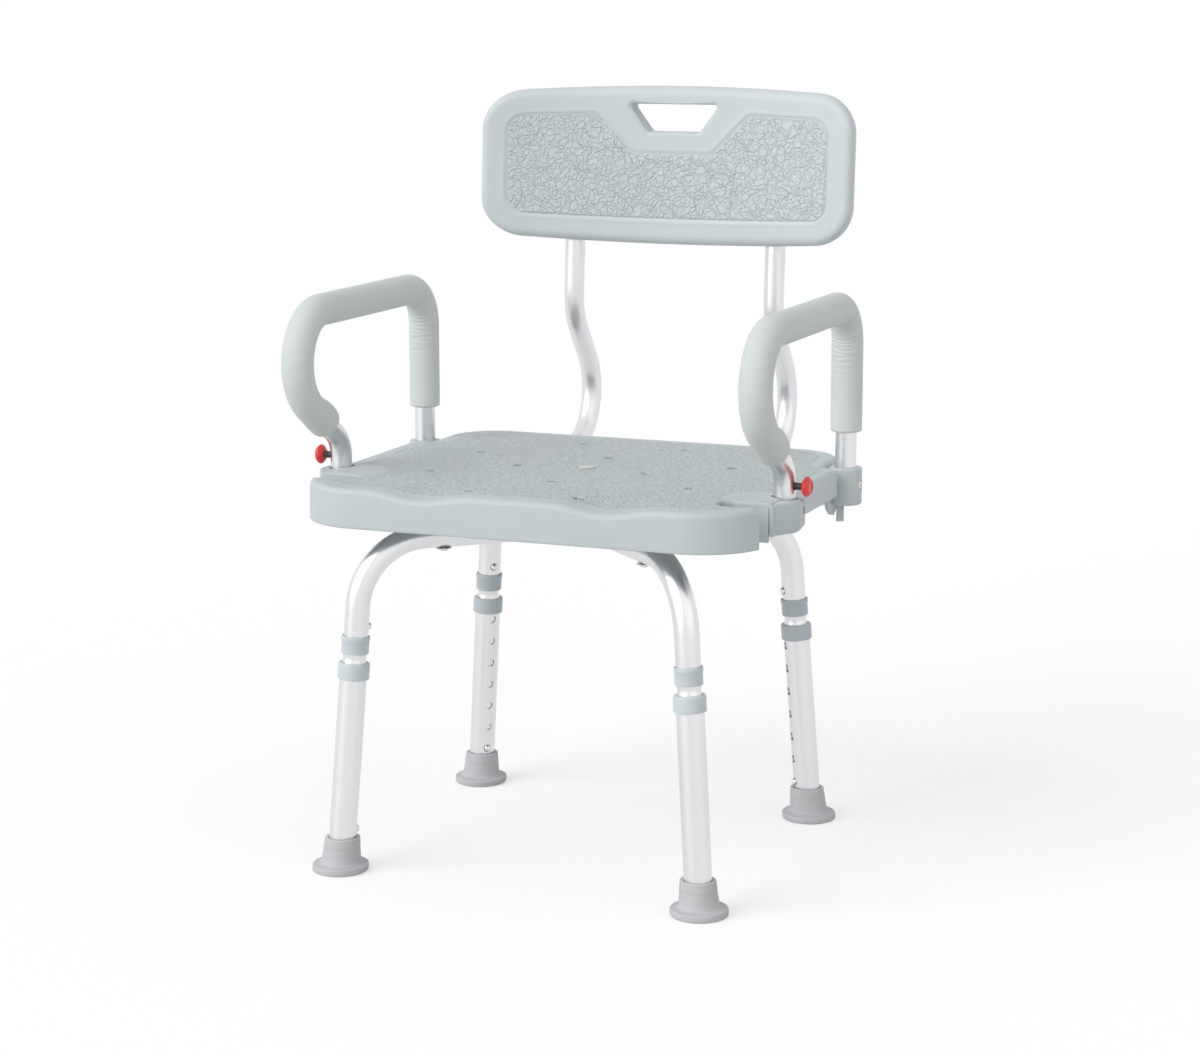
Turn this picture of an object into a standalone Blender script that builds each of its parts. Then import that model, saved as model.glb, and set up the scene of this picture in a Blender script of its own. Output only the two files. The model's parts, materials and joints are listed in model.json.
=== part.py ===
"""Shower chair: padded swing-up arms, a contoured back and four legs that extend in one-inch steps.

Metres, +Z up, the sitter faces -Y. The chair is laid out around the middle of its four feet,
and one parent empty then moves it so that the origin lies under the middle of its bounding box.
"""
import bmesh
import bpy
from math import acos, cos, pi, radians, sin, tan
from mathutils import Matrix, Vector

# ---- driving dimensions ------------------------------------------------------------------
GAP = 0.0003                      # kept between pieces that touch
FOOT_X, FOOT_Y = 0.196, 0.177     # middle of a foot on the floor
SPLAY_X, SPLAY_Y = 0.069, 0.042   # how far a leg leans in for each metre of height
HOLE_PITCH, HOLE_COUNT = 0.0254, 7
LOW_HOLE = 0.0433                 # lowest height hole, along the leg from the floor
FRAME_R, TUBE_WALL = 0.0125, 0.0012
FRAME_TOP = 0.343                 # axis of the crossed frame tubes under the seat
FRAME_BEND = 0.072
LEG_R = 0.014
SEAT_TOP, SEAT_BOTTOM = 0.4005, 0.360
SEAT_HALF, SEAT_REAR_HALF = 0.245, 0.2245
SEAT_FRONT, SEAT_REAR, SEAT_STEP = -0.190, 0.217, 0.111
SEAT_WALL = 0.004
ARM_X, ARM_R = 0.2427, 0.0111
ARM_POST_Y, ARM_PIVOT_Z = 0.138, 0.379
ARM_FRONT_Y = -0.067
PAD_R = 0.0165
BACK_X, BACK_TUBE_R = 0.118, 0.0111
PANEL_HALF, PANEL_LOW, PANEL_HIGH = 0.2155, 0.6115, 0.783
PANEL_FRONT, PANEL_CURVE = 0.262, 0.60
BACK_LEAN = radians(3.65)
ORIGIN_Y = 0.06428                # middle of the bounding box, front to back

SIDES = ((-1, "l"), (1, "r"))
ENDS = ((-1, "f"), (1, "r"))

FINISHES = {                      # colour, roughness, metallic
    "seat_plastic": ((0.60, 0.66, 0.66), 0.55, 0.0),
    "foam": ((0.62, 0.68, 0.65), 0.85, 0.0),
    "anodised": ((0.80, 0.80, 0.82), 0.32, 1.0),
    "collar_plastic": ((0.47, 0.53, 0.55), 0.50, 0.0),
    "foot_rubber": ((0.42, 0.44, 0.45), 0.80, 0.0),
    "red_plastic": ((0.72, 0.06, 0.05), 0.35, 0.0),
    "steel": ((0.62, 0.61, 0.58), 0.25, 1.0),
    "cap_plastic": ((0.80, 0.78, 0.70), 0.45, 0.0),
}


# ---- scene and helpers ---------------------------------------------------------------------
def collection(name):
    made = bpy.data.collections.new(name)
    bpy.context.scene.collection.children.link(made)
    return made


for old in list(bpy.data.objects):
    bpy.data.objects.remove(old)
PARTS = collection("shower_chair")


def finish(name):
    if name in bpy.data.materials:
        return bpy.data.materials[name]
    colour, roughness, metallic = FINISHES[name]
    material = bpy.data.materials.new(name)
    material.use_nodes = True
    shader = material.node_tree.nodes["Principled BSDF"]
    shader.inputs["Base Color"].default_value = (*colour, 1)
    shader.inputs["Roughness"].default_value = roughness
    shader.inputs["Metallic"].default_value = metallic
    return material


def empty(name, parent=None, matrix=None):
    made = bpy.data.objects.new(name, None)
    PARTS.objects.link(made)
    made.parent = parent
    made.matrix_local = matrix or Matrix()
    return made


def node(name, mesh, material, parent, location=(0, 0, 0), rotation=(0, 0, 0)):
    made = bpy.data.objects.new(name, mesh)
    PARTS.objects.link(made)
    made.parent = parent
    made.location = location
    made.rotation_euler = rotation
    made.active_material = finish(material)
    mesh.shade_smooth()
    mesh.set_sharp_from_angle(angle=radians(35))
    return made


def baked(made):
    """The evaluated mesh of a temporary object, in the object's parent space."""
    graph = bpy.context.evaluated_depsgraph_get()
    mesh = bpy.data.meshes.new_from_object(made.evaluated_get(graph))
    mesh.transform(made.matrix_local)
    bpy.data.objects.remove(made)
    return mesh


def temporary(data):
    made = bpy.data.objects.new("temporary", data)
    bpy.context.scene.collection.objects.link(made)
    return made


def welded(mesh, distance=0.00001):
    bm = bmesh.new()
    bm.from_mesh(mesh)
    bmesh.ops.remove_doubles(bm, verts=bm.verts, dist=distance)
    bmesh.ops.dissolve_degenerate(bm, edges=bm.edges, dist=distance)
    bmesh.ops.recalc_face_normals(bm, faces=bm.faces)
    bm.to_mesh(mesh)
    bm.free()
    return mesh


def turned(profile, segments, ring=False):
    """A profile of (radius, height) points turned about Z: down the outer side, then up the inner."""
    count = len(profile)
    edges = [(i, i + 1) for i in range(count - 1)] + ([(count - 1, 0)] if ring else [])
    mesh = bpy.data.meshes.new("profile")
    mesh.from_pydata([(r, 0, z) for r, z in profile], edges, [])
    made = temporary(mesh)
    screw = made.modifiers.new("Turn", "SCREW")
    screw.steps = screw.render_steps = segments
    screw.use_merge_vertices = True
    screw.merge_threshold = 0.00001
    return welded(baked(made))


def prism(outline, low, high, rounding=0.0, steps=1):
    """A flat outline standing from height low to high, with both its edges rounded."""
    curve = bpy.data.curves.new("outline", "CURVE")
    curve.dimensions = "2D"
    curve.fill_mode = "BOTH"
    curve.extrude = (high - low) / 2 - rounding
    curve.bevel_depth = rounding
    curve.bevel_resolution = steps - 1
    curve.offset = -rounding
    spline = curve.splines.new("POLY")
    spline.points.add(len(outline) - 1)
    for point, (x, y) in zip(spline.points, outline):
        point.co = (x, y, 0, 1)
    spline.use_cyclic_u = True
    mesh = baked(temporary(curve))
    mesh.transform(Matrix.Translation((0, 0, (low + high) / 2)))
    return welded(mesh)


def swept(points, radius, sides=12):
    """The open skin of a round tube along points."""
    curve = bpy.data.curves.new("route", "CURVE")
    curve.dimensions = "3D"
    curve.bevel_depth = radius
    curve.bevel_resolution = (sides - 4) // 2
    spline = curve.splines.new("POLY")
    spline.points.add(len(points) - 1)
    for point, place in zip(spline.points, points):
        point.co = (*place, 1)
    return welded(baked(temporary(curve)))


def walled(mesh, wall):
    """A skin thickened inwards, so that it is a hollow piece with open ends."""
    made = temporary(mesh)
    solid = made.modifiers.new("Wall", "SOLIDIFY")
    solid.thickness = wall
    solid.offset = -1
    solid.use_even_offset = True
    return welded(baked(made))


def joined(mesh, others, operation):
    """A mesh after a Boolean with each of the others in turn."""
    for other in others:
        made, tool = temporary(mesh), temporary(other)
        boolean = made.modifiers.new("Cut", "BOOLEAN")
        boolean.operation = operation
        boolean.object = tool
        mesh = welded(baked(made), 0.000002)
        bpy.data.objects.remove(tool)
    return mesh


def cut(mesh, *cutters):
    return joined(mesh, cutters, "DIFFERENCE")


def merged(mesh, *others):
    return joined(mesh, others, "UNION")


def moved(mesh, matrix):
    mesh.transform(matrix)
    if matrix.determinant() < 0:
        mesh.flip_normals()
    return mesh


def rod(radius, start, end, segments=12, tip=None):
    """A round bar between two points, its far end tapered to the radius tip."""
    start, end = Vector(start), Vector(end)
    length = (end - start).length
    tip = radius if tip is None else tip
    mesh = turned([(0, length), (tip, length), (radius, 0), (0, 0)], segments)
    turn = (end - start).to_track_quat("Z", "Y").to_matrix().to_4x4()
    return moved(mesh, Matrix.Translation(start) @ turn)


def block(low, high):
    outline = [(low[0], low[1]), (high[0], low[1]), (high[0], high[1]), (low[0], high[1])]
    return prism(outline, low[2], high[2])


def arc(centre, radius, start, end, count):
    """Points on an arc, angles in degrees."""
    angles = [radians(start + (end - start) * i / count) for i in range(count + 1)]
    return [(centre[0] + radius * cos(a), centre[1] + radius * sin(a)) for a in angles]


def filleted(corners, radius, steps):
    """A 3D route through corners, each inner corner an arc of the given radius."""
    route = [Vector(corners[0])]
    for before, corner, after in zip(corners, corners[1:], corners[2:]):
        before, corner, after = Vector(before), Vector(corner), Vector(after)
        into, out = (before - corner).normalized(), (after - corner).normalized()
        half = acos(into.dot(out)) / 2
        centre = corner + (into + out).normalized() * radius / sin(half)
        spoke = corner + into * radius / tan(half) - centre
        normal = into.cross(out)
        for i in range(steps + 1):
            turn = Matrix.Rotation((2 * half - pi) * i / steps, 3, normal)
            route.append(centre + turn @ spoke)
    return route + [Vector(corners[-1])]


def bent(start, heading, moves, step=18):
    """A flat route of straight runs (length,) and arcs (radius, degrees), left turns positive."""
    route, heading = [Vector(start)], radians(heading)
    for move in moves:
        if len(move) == 1:
            route.append(route[-1] + move[0] * Vector((cos(heading), sin(heading))))
            continue
        radius, turn = move
        side = 1 if turn > 0 else -1
        spoke = radius * side * Vector((sin(heading), -cos(heading)))
        centre = route[-1] - spoke
        count = max(2, round(abs(turn) / step))
        for i in range(1, count + 1):
            angle = radians(turn) * i / count
            route.append(centre + Matrix.Rotation(angle, 2) @ spoke)
        heading += radians(turn)
    return route


# ---- legs ----------------------------------------------------------------------------------
LEG_SEGMENTS = 14
INNER_R = 0.0124
SPIGOT_R = 0.0106
JOINT_Z = 0.2375                  # where the leg meets the frame tube, along the leg
TOP_HOLE = 0.2563
BUTTON_R, BUTTON_HOLE = 0.0038, 0.0043


def leg_frame(sx, sy):
    """The leg's own axes: Z up along it, X towards the middle of the chair."""
    up = Vector((-sx * SPLAY_X, -sy * SPLAY_Y, 1)).normalized()
    inward = Vector((-sx * FOOT_X, -sy * FOOT_Y, 0))
    inward = (inward - up * inward.dot(up)).normalized()
    side = up.cross(inward)
    turn = Matrix((inward, side, up)).transposed().to_4x4()
    return Matrix.Translation((sx * FOOT_X, sy * FOOT_Y, 0)) @ turn


def button_hole(z, reach):
    return rod(BUTTON_HOLE, (0.005, 0, z), (reach, 0, z), 10)


def outer_leg():
    low, high = 0.0098, 0.2165
    bore = LEG_R - TUBE_WALL
    tube = turned([(LEG_R, high), (LEG_R, low), (bore, low), (bore, high)], LEG_SEGMENTS, True)
    holes = [button_hole(LOW_HOLE + HOLE_PITCH * i, 0.02) for i in range(HOLE_COUNT)]
    return cut(tube, *holes)


def inner_leg():
    low, shoulder, top = 0.024, JOINT_Z - GAP, 0.2735
    profile = [(SPIGOT_R, top), (SPIGOT_R, shoulder), (INNER_R, shoulder - 0.001), (INNER_R, low),
               (INNER_R - TUBE_WALL, low), (INNER_R - TUBE_WALL, shoulder - 0.004),
               (SPIGOT_R - TUBE_WALL, shoulder + 0.002), (SPIGOT_R - TUBE_WALL, top)]
    tube = turned(profile, LEG_SEGMENTS, True)
    return cut(tube, button_hole(LOW_HOLE, 0.02), button_hole(TOP_HOLE, 0.02))


def joint_collar():
    low, high, bore, outer = 0.2285, 0.2465, FRAME_R + 0.0004, 0.01465
    profile = [(outer - 0.0008, high), (outer, high - 0.001), (outer, high - 0.0035),
               (outer - 0.0006, high - 0.0045), (outer - 0.0006, low), (bore, low), (bore, high)]
    return turned(profile, LEG_SEGMENTS, True)


def leg_collar():
    low, high, outer = 0.202, 0.219, 0.01635
    step, bore, lip = 0.2168, LEG_R + GAP, INNER_R + 0.0004
    profile = [(outer - 0.0014, high), (outer, high - 0.0014), (outer, low),
               (bore, low), (bore, step), (lip, step), (lip, high)]
    return turned(profile, LEG_SEGMENTS, True)


def foot(sx, sy):
    """A rubber foot: flat on the floor, its socket leaning with the leg."""
    bore, floor = LEG_R + 0.0004, 0.0082
    profile = [(0, floor), (bore, floor), (bore, 0.035), (0.0172, 0.035), (0.0181, 0.0335),
               (0.0199, 0.0125), (0.0212, 0.0095), (0.0272, 0.0088), (0.029, 0.0068),
               (0.029, 0.0012), (0.0278, 0), (0, 0)]
    mesh = turned(profile, 18)
    lean = Matrix.Identity(4)
    lean[0][2], lean[1][2] = -sx * SPLAY_X, -sy * SPLAY_Y
    return moved(mesh, Matrix.Translation((sx * FOOT_X, sy * FOOT_Y, 0)) @ lean)


def snap_clip(z, reach, inside):
    """A domed button on a folded leaf spring that stands inside a tube."""
    leaf, width = 0.0007, 0.0056
    front = inside - 0.0012
    back = front - 0.0085
    tall = 0.022
    button = turned([(0, reach), (0.0018, reach - 0.0004), (0.0033, reach - 0.0016),
                     (BUTTON_R, reach - 0.0032), (BUTTON_R, front - 0.0003), (0, front - 0.0003)], 8)
    moved(button, Matrix.Translation((0, 0, z)) @ Matrix.Rotation(pi / 2, 4, "Y"))
    bend = arc(((front + back) / 2, z - 0.006), (front - back) / 2, 360, 180, 3)
    inner = arc(((front + back) / 2, z - 0.006), (front - back) / 2 - leaf, 180, 360, 3)
    strip = [(front, z + 0.006), *bend, (back, z + tall - 0.012), (back + leaf, z + tall - 0.012),
             *inner, (front - leaf, z + 0.006)]
    spring = prism(strip, -width / 2, width / 2)
    moved(spring, Matrix.Rotation(pi / 2, 4, "X"))
    return merged(spring, button)


def legs(chair):
    shared = {
        "inner_leg": (inner_leg(), "anodised"),
        "joint_collar": (joint_collar(), "collar_plastic"),
        "outer_leg": (outer_leg(), "anodised"),
        "leg_collar": (leg_collar(), "collar_plastic"),
        "height_button": (snap_clip(LOW_HOLE, 0.0172, INNER_R - TUBE_WALL), "steel"),
        "joint_button": (snap_clip(TOP_HOLE, 0.0156, SPIGOT_R - TUBE_WALL), "steel"),
    }
    for sx, side in SIDES:
        for sy, end in ENDS:
            corner = f"{end}{side}"
            axis = empty(f"leg_axis_{corner}", chair, leg_frame(sx, sy))
            for piece, (mesh, material) in shared.items():
                node(f"{piece}_{corner}", mesh, material, axis)
            node(f"foot_{corner}", foot(sx, sy), "foot_rubber", chair)


# ---- crossed frame ---------------------------------------------------------------------------
SCREW_OUT = 0.1505                # a seat screw's distance from the middle of the chair


def corner_top(sx, sy):
    """Where a leg's axis meets the height of the frame's level runs."""
    return Vector((sx * (FOOT_X - SPLAY_X * FRAME_TOP), sy * (FOOT_Y - SPLAY_Y * FRAME_TOP), FRAME_TOP))


def screw_place(sx, sy):
    way = corner_top(sx, sy)
    way.z = 0
    return way.normalized() * SCREW_OUT


def frame_tube(sx, sy, under):
    """One arch from a leg to the opposite leg, pressed half flat where it crosses the other."""
    ends = [leg_frame(x, y) @ Vector((0, 0, JOINT_Z)) for x, y in ((sx, sy), (-sx, -sy))]
    tops = [corner_top(sx, sy), corner_top(-sx, -sy)]
    route = filleted([ends[0], *tops, ends[1]], FRAME_BEND, 5)
    half = len(route) // 2
    way = (tops[0] - tops[1]).normalized()
    level = Vector((0, 0, FRAME_TOP))
    crossing = [level - way * reach for reach in (-0.044, -0.033, -0.020, 0.020, 0.033, 0.044)]
    skin = swept(route[:half] + crossing + route[half:], FRAME_R)
    side = 1 if under else -1
    for vertex in skin.vertices:
        blend = min(1, max(0, (0.0445 - abs(vertex.co.dot(way))) / 0.024))
        depth = FRAME_R + (vertex.co.z - FRAME_TOP) * side
        if depth > -GAP:
            depth -= blend * depth * (0.5 + GAP / FRAME_R)
            vertex.co.z = FRAME_TOP + (depth - FRAME_R) * side
    tube = walled(skin, TUBE_WALL)
    holes = [rod(0.0029, spot + Vector((0, 0, 0.32)), spot + Vector((0, 0, 0.37)), 10)
             for spot in (screw_place(sx, sy), screw_place(-sx, -sy))]
    for x, y in ((sx, sy), (-sx, -sy)):
        holes.append(moved(button_hole(TOP_HOLE, 0.02), leg_frame(x, y)))
    holes.append(rod(0.0036, (0, 0, 0.32), (0, 0, 0.37), 10))
    return cut(tube, *holes)


def seat_screw():
    """A pan-head screw on its washer, up through the frame tube into the seat."""
    washer_top = FRAME_TOP - FRAME_R - GAP
    profile = [(0, 0.386), (0.0021, 0.384), (0.0021, washer_top), (0.0082, washer_top),
               (0.0082, washer_top - 0.0012), (0.0054, washer_top - 0.0012),
               (0.0036, washer_top - 0.0040), (0, washer_top - 0.0042)]
    return turned(profile, 12)


def cross_bolt():
    top = FRAME_TOP + FRAME_R + GAP
    profile = [(0, top + 0.0036), (0.0032, top + 0.0036), (0.0055, top + 0.0014), (0.0055, top),
               (0.003, top), (0.003, 0.3245), (0, 0.3245)]
    return turned(profile, 12)


def cross_nut():
    """An acorn nut and its washer under the crossing."""
    top, bore = FRAME_TOP - FRAME_R - GAP, 0.0033
    profile = [(0.0075, top), (0.0075, top - 0.0012), (0.0049, top - 0.0012), (0.0049, top - 0.0065),
               (0.0040, top - 0.0095), (0.0022, top - 0.0115), (0, top - 0.012), (0, top - 0.0085),
               (bore, top - 0.0085), (bore, top)]
    return turned(profile, 12, True)


def frame(chair):
    node("frame_tube_lower", frame_tube(-1, -1, True), "anodised", chair)
    node("frame_tube_upper", frame_tube(1, -1, False), "anodised", chair)
    node("cross_bolt", cross_bolt(), "steel", chair)
    node("cross_nut", cross_nut(), "steel", chair)
    screw = seat_screw()
    for sx, side in SIDES:
        for sy, end in ENDS:
            node(f"seat_screw_{end}{side}", screw, "steel", chair, screw_place(sx, sy))


# ---- seat ------------------------------------------------------------------------------------
SKIN = 0.004
SLOT_X, SLOT_Y, SLOT_R = 0.2085, -0.125, 0.0155   # hand-shower rest in each front corner
SOCKET_R, SOCKET_BORE = 0.020, 0.0128
SOCKET_LOW, SOCKET_HIGH = 0.3665, 0.398
SIDE_BOTTOM = 0.372                              # the side walls stop short behind the slots
RELEASE_Z, LOCK_Z = 0.4115, 0.388
PLATE = (0.2285, 0.2325)                         # the arm bracket's stop plate, across
TAB = (0.2310, 0.2385)
BACK_TUBE_Z = 0.379
BACK_BUTTON_Y = 0.176
DRAIN_R = 0.00625
DRAIN_Y = 0.004


def seat_outline(inset=0.0):
    half, rear_half = SEAT_HALF - inset, SEAT_REAR_HALF - inset
    front, rear, step = SEAT_FRONT + inset, SEAT_REAR - inset, SEAT_STEP - inset
    front_r, rear_r = 0.072 - inset, 0.055 - inset
    right = [*arc((half - front_r, front + front_r), front_r, -90, 0, 7),
             (half, step), (rear_half, step),
             *arc((rear_half - rear_r, rear - rear_r), rear_r, 0, 90, 5)]
    return right + [(-x, y) for x, y in reversed(right)]


def slot(side, radius, low, high):
    outline = [*arc((SLOT_X, SLOT_Y), radius, 90, 270, 6), (0.27, SLOT_Y - radius), (0.27, SLOT_Y + radius)]
    return moved(prism(outline, low, high), Matrix.Diagonal((side, 1, 1, 1)))


def mirrored_block(side, low, high):
    return moved(block(low, high), Matrix.Diagonal((side, 1, 1, 1)))


def seat_core():
    """What is hollow under the seat: everything inside its walls but its bosses and guides."""
    ceiling, floor = SEAT_TOP - SKIN, SEAT_BOTTOM - 0.01
    above = ceiling + 0.002
    bosses = []
    for sx, _ in SIDES:
        bosses.append(thigh_dip(sx, SKIN))
        bosses.append(slot(sx, SLOT_R + SKIN, floor - 0.001, above))
        bosses.append(rod(SOCKET_R, (sx * ARM_X, ARM_FRONT_Y, floor - 0.001), (sx * ARM_X, ARM_FRONT_Y, above), 20))
        bosses.append(mirrored_block(sx, (0.209, 0.129, 0.3692), (0.2215, 0.147, above)))
        bosses.append(mirrored_block(sx, (BACK_X - 0.0155, 0.150, 0.364), (BACK_X + 0.0155, 0.2145, above)))
        for sy, _ in ENDS:
            spot = screw_place(sx, sy)
            low, high = FRAME_TOP + FRAME_R + GAP, above
            bosses.append(rod(0.0095, (spot.x, spot.y, low), (spot.x, spot.y, high), 12))
    return cut(prism(seat_outline(SEAT_WALL), floor, ceiling), *bosses)


def drain_places():
    rows = ((142, 64), (71, 0), (0, 77), (58, 153))
    for x, y in rows:
        for sx in (-1, 1) if x else (1,):
            for sy in (-1, 1) if y else (1,):
                yield sx * x / 1000, sy * y / 1000 + DRAIN_Y


def seat():
    body = prism(seat_outline(), SEAT_BOTTOM, SEAT_TOP, 0.004)
    back = SLOT_Y + SLOT_R
    for sx, _ in SIDES:
        body = cut(body, mirrored_block(sx, (0.2205, back - 0.002, 0.35), (0.25, ARM_FRONT_Y + 0.0215, SOCKET_LOW)),
                   mirrored_block(sx, (0.2405, ARM_FRONT_Y + 0.0215, 0.35), (0.25, SEAT_STEP + 0.001, SIDE_BOTTOM)))
    boss = turned([(0, SOCKET_HIGH), (SOCKET_R - 0.001, SOCKET_HIGH), (SOCKET_R, SOCKET_HIGH - 0.001),
                   (SOCKET_R, SOCKET_LOW + 0.006), (0.0156, SOCKET_LOW), (0, SOCKET_LOW)], 20)
    for sx, _ in SIDES:
        body = merged(body, moved(boss.copy(), Matrix.Translation((sx * ARM_X, ARM_FRONT_Y, 0))))
    pilots = []
    for sx, sy in ((x, y) for x, _ in SIDES for y, _ in ENDS):
        spot = screw_place(sx, sy)
        start, end = Vector((spot.x, spot.y, 0.35)), Vector((spot.x, spot.y, 0.388))
        pilots.append(rod(0.0025, start, end, 10))
    body = cut(body, seat_core(), *pilots)
    for sx, _ in SIDES:
        cuts = [slot(sx, SLOT_R, 0.34, 0.42),
                rod(SOCKET_BORE, (sx * ARM_X, ARM_FRONT_Y, 0.35), (sx * ARM_X, ARM_FRONT_Y, 0.42), 20),
                rod(0.0043, (sx * 0.250, ARM_FRONT_Y, LOCK_Z), (sx * 0.270, ARM_FRONT_Y, LOCK_Z), 10),
                mirrored_block(sx, (PLATE[0] - 0.0008, 0.103, 0.34), (PLATE[1] + 0.0008, 0.13, 0.42)),
                mirrored_block(sx, (TAB[0] - 0.0007, 0.09, 0.34), (TAB[1] + 0.0007, 0.13, 0.3745)),
                rod(0.0034, (sx * 0.200, ARM_POST_Y, ARM_PIVOT_Z), (sx * 0.230, ARM_POST_Y, ARM_PIVOT_Z), 12),
                rod(0.0117, (sx * BACK_X, 0.125, BACK_TUBE_Z), (sx * BACK_X, 0.24, BACK_TUBE_Z), 16),
                rod(0.0043, (sx * BACK_X, BACK_BUTTON_Y, 0.372), (sx * BACK_X, BACK_BUTTON_Y, 0.358), 10),
                thigh_dip(sx)]
        body = cut(body, *cuts)
    drains = [rod(DRAIN_R, (x, y, 0.385), (x, y, 0.41), 10) for x, y in drain_places()]
    return cut(body, *drains, rod(0.0058, (0, 0.015, 0.385), (0, 0.015, 0.41), 12))


def thigh_dip(side, skin=0.0):
    """A shallow scoop in the front edge, running out towards the middle of the seat."""
    radius, depth, run = 0.17, 0.0078, 0.075
    centre = Vector((side * 0.100, SEAT_FRONT, SEAT_TOP - depth + radius))
    slope = Vector((0, run, depth)).normalized()
    return rod(radius + skin, centre - slope * 0.03, centre + slope * 0.14, 64)


def drain_cap():
    rim = SEAT_TOP + GAP
    return turned([(0, rim + 0.0018), (0.005, rim + 0.0015), (0.0082, rim + 0.0004), (0.0082, rim),
                   (0.0052, rim), (0.0048, 0.394), (0, 0.394)], 14)


# ---- arms ------------------------------------------------------------------------------------
ARM_ROUTE = [(0.1645,), (0.043, 90), (0.203,), (0.052, 147), (0.0656,), (0.031, -57), (0.0392,)]
PAD_ROUTE = [(0.0900,), (0.043, 90), (0.203,), (0.052, 147), (0.0400,)]
PAD_START = 0.435


def arm_route(low, moves):
    """The arm's route in its own upright plane."""
    return [Vector((ARM_X, y, z)) for y, z in bent((ARM_POST_Y, low), 90, moves)]


def arm_tube():
    tube = walled(swept(arm_route(0.3605, ARM_ROUTE), ARM_R, 10), TUBE_WALL)
    bolt = rod(0.0034, (0.22, ARM_POST_Y, ARM_PIVOT_Z), (0.265, ARM_POST_Y, ARM_PIVOT_Z), 12)
    lock = rod(0.0042, (ARM_X, ARM_FRONT_Y, LOCK_Z), (0.27, ARM_FRONT_Y, LOCK_Z), 10)
    neck = rod(0.0042, (ARM_X, ARM_FRONT_Y - 0.001, RELEASE_Z), (0.27, ARM_FRONT_Y - 0.001, RELEASE_Z), 10)
    return cut(tube, bolt, lock, neck)


def arm_pad():
    return walled(swept(arm_route(PAD_START, PAD_ROUTE), PAD_R, 10), PAD_R - ARM_R - 0.0004)


def arm_bracket():
    """The sleeve around the arm's post, with its stop plate and tab, all turning on the pivot bolt."""
    low, high, sleeve_r = 0.358, 0.397, 0.0175
    body = turned([(0, high), (sleeve_r - 0.0012, high), (sleeve_r, high - 0.0012), (sleeve_r, low + 0.002),
                   (sleeve_r - 0.002, low), (0, low)], 20)
    moved(body, Matrix.Translation((ARM_X, ARM_POST_Y, 0)))
    reach = 0.034
    sector = [(0.010, 0.012), (-0.004, 0.012), *arc((0, 0), reach, 180, 270, 6), (0.010, -0.018)]
    plate = prism(sector, PLATE[0], PLATE[1])
    upright = Matrix(((0, 0, 1, 0), (1, 0, 0, ARM_POST_Y), (0, 1, 0, ARM_PIVOT_Z), (0, 0, 0, 1)))
    moved(plate, upright)
    tab = block((TAB[0], 0.1445, 0.337), (TAB[1], 0.150, 0.362))
    body = merged(body, plate, tab)
    bore = rod(0.0115, (ARM_X, ARM_POST_Y, 0.33), (ARM_X, ARM_POST_Y, 0.41), 20)
    bolt = rod(0.0034, (0.215, ARM_POST_Y, ARM_PIVOT_Z), (0.265, ARM_POST_Y, ARM_PIVOT_Z), 12)
    head = rod(0.0053, (0.2569, ARM_POST_Y, ARM_PIVOT_Z), (0.265, ARM_POST_Y, ARM_PIVOT_Z), 14)
    return cut(body, bore, bolt, head)


def pivot_bolt():
    """Lies along X at the pivot, its head outboard."""
    profile = [(0, 0.2596), (0.0032, 0.2596), (0.0045, 0.2586), (0.0045, 0.2572), (0.003, 0.2572),
               (0.003, 0.2022), (0, 0.2022)]
    mesh = turned(profile, 12)
    return moved(mesh, Matrix.Rotation(pi / 2, 4, "Y"))


def pivot_nut():
    profile = [(0.0052, 0.2087), (0.0052, 0.2040), (0.0033, 0.2040), (0.0033, 0.2087)]
    return moved(turned(profile, 12, True), Matrix.Rotation(pi / 2, 4, "Y"))


def release_knob():
    """The red button and its dark neck, along X from the arm tube outwards."""
    face = 0.2697
    profile = [(0, face), (0.0070, face - 0.0002), (0.0092, face - 0.0016), (0.0100, face - 0.0038),
               (0.0094, face - 0.0062), (0.0074, face - 0.0080), (0.0036, face - 0.0080),
               (0.0036, 0.2465), (0, 0.2465)]
    return moved(turned(profile, 14), Matrix.Rotation(pi / 2, 4, "Y"))


def release_spring():
    """A folded leaf inside the arm tube that carries the lock pin."""
    front, back, leaf, width = 0.2460, 0.2402, 0.0007, 0.006
    low = LOCK_Z - 0.006
    middle, bend_r = (front + back) / 2, (front - back) / 2
    strip = [(front, RELEASE_Z + 0.004), *arc((middle, low), bend_r, 360, 180, 3),
             (back, low + 0.030), (back + leaf, low + 0.030),
             *arc((middle, low), bend_r - leaf, 180, 360, 3), (front - leaf, RELEASE_Z + 0.004)]
    spring = moved(prism(strip, -width / 2, width / 2), Matrix.Rotation(pi / 2, 4, "X"))
    pin = turned([(0, 0.2612), (0.0020, 0.2608), (0.0034, 0.2596), (0.0038, 0.2582),
                  (0.0038, front - 0.0004), (0, front - 0.0004)], 8)
    moved(pin, Matrix.Translation((0, 0, LOCK_Z)) @ Matrix.Rotation(pi / 2, 4, "Y"))
    return merged(spring, pin)


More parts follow.
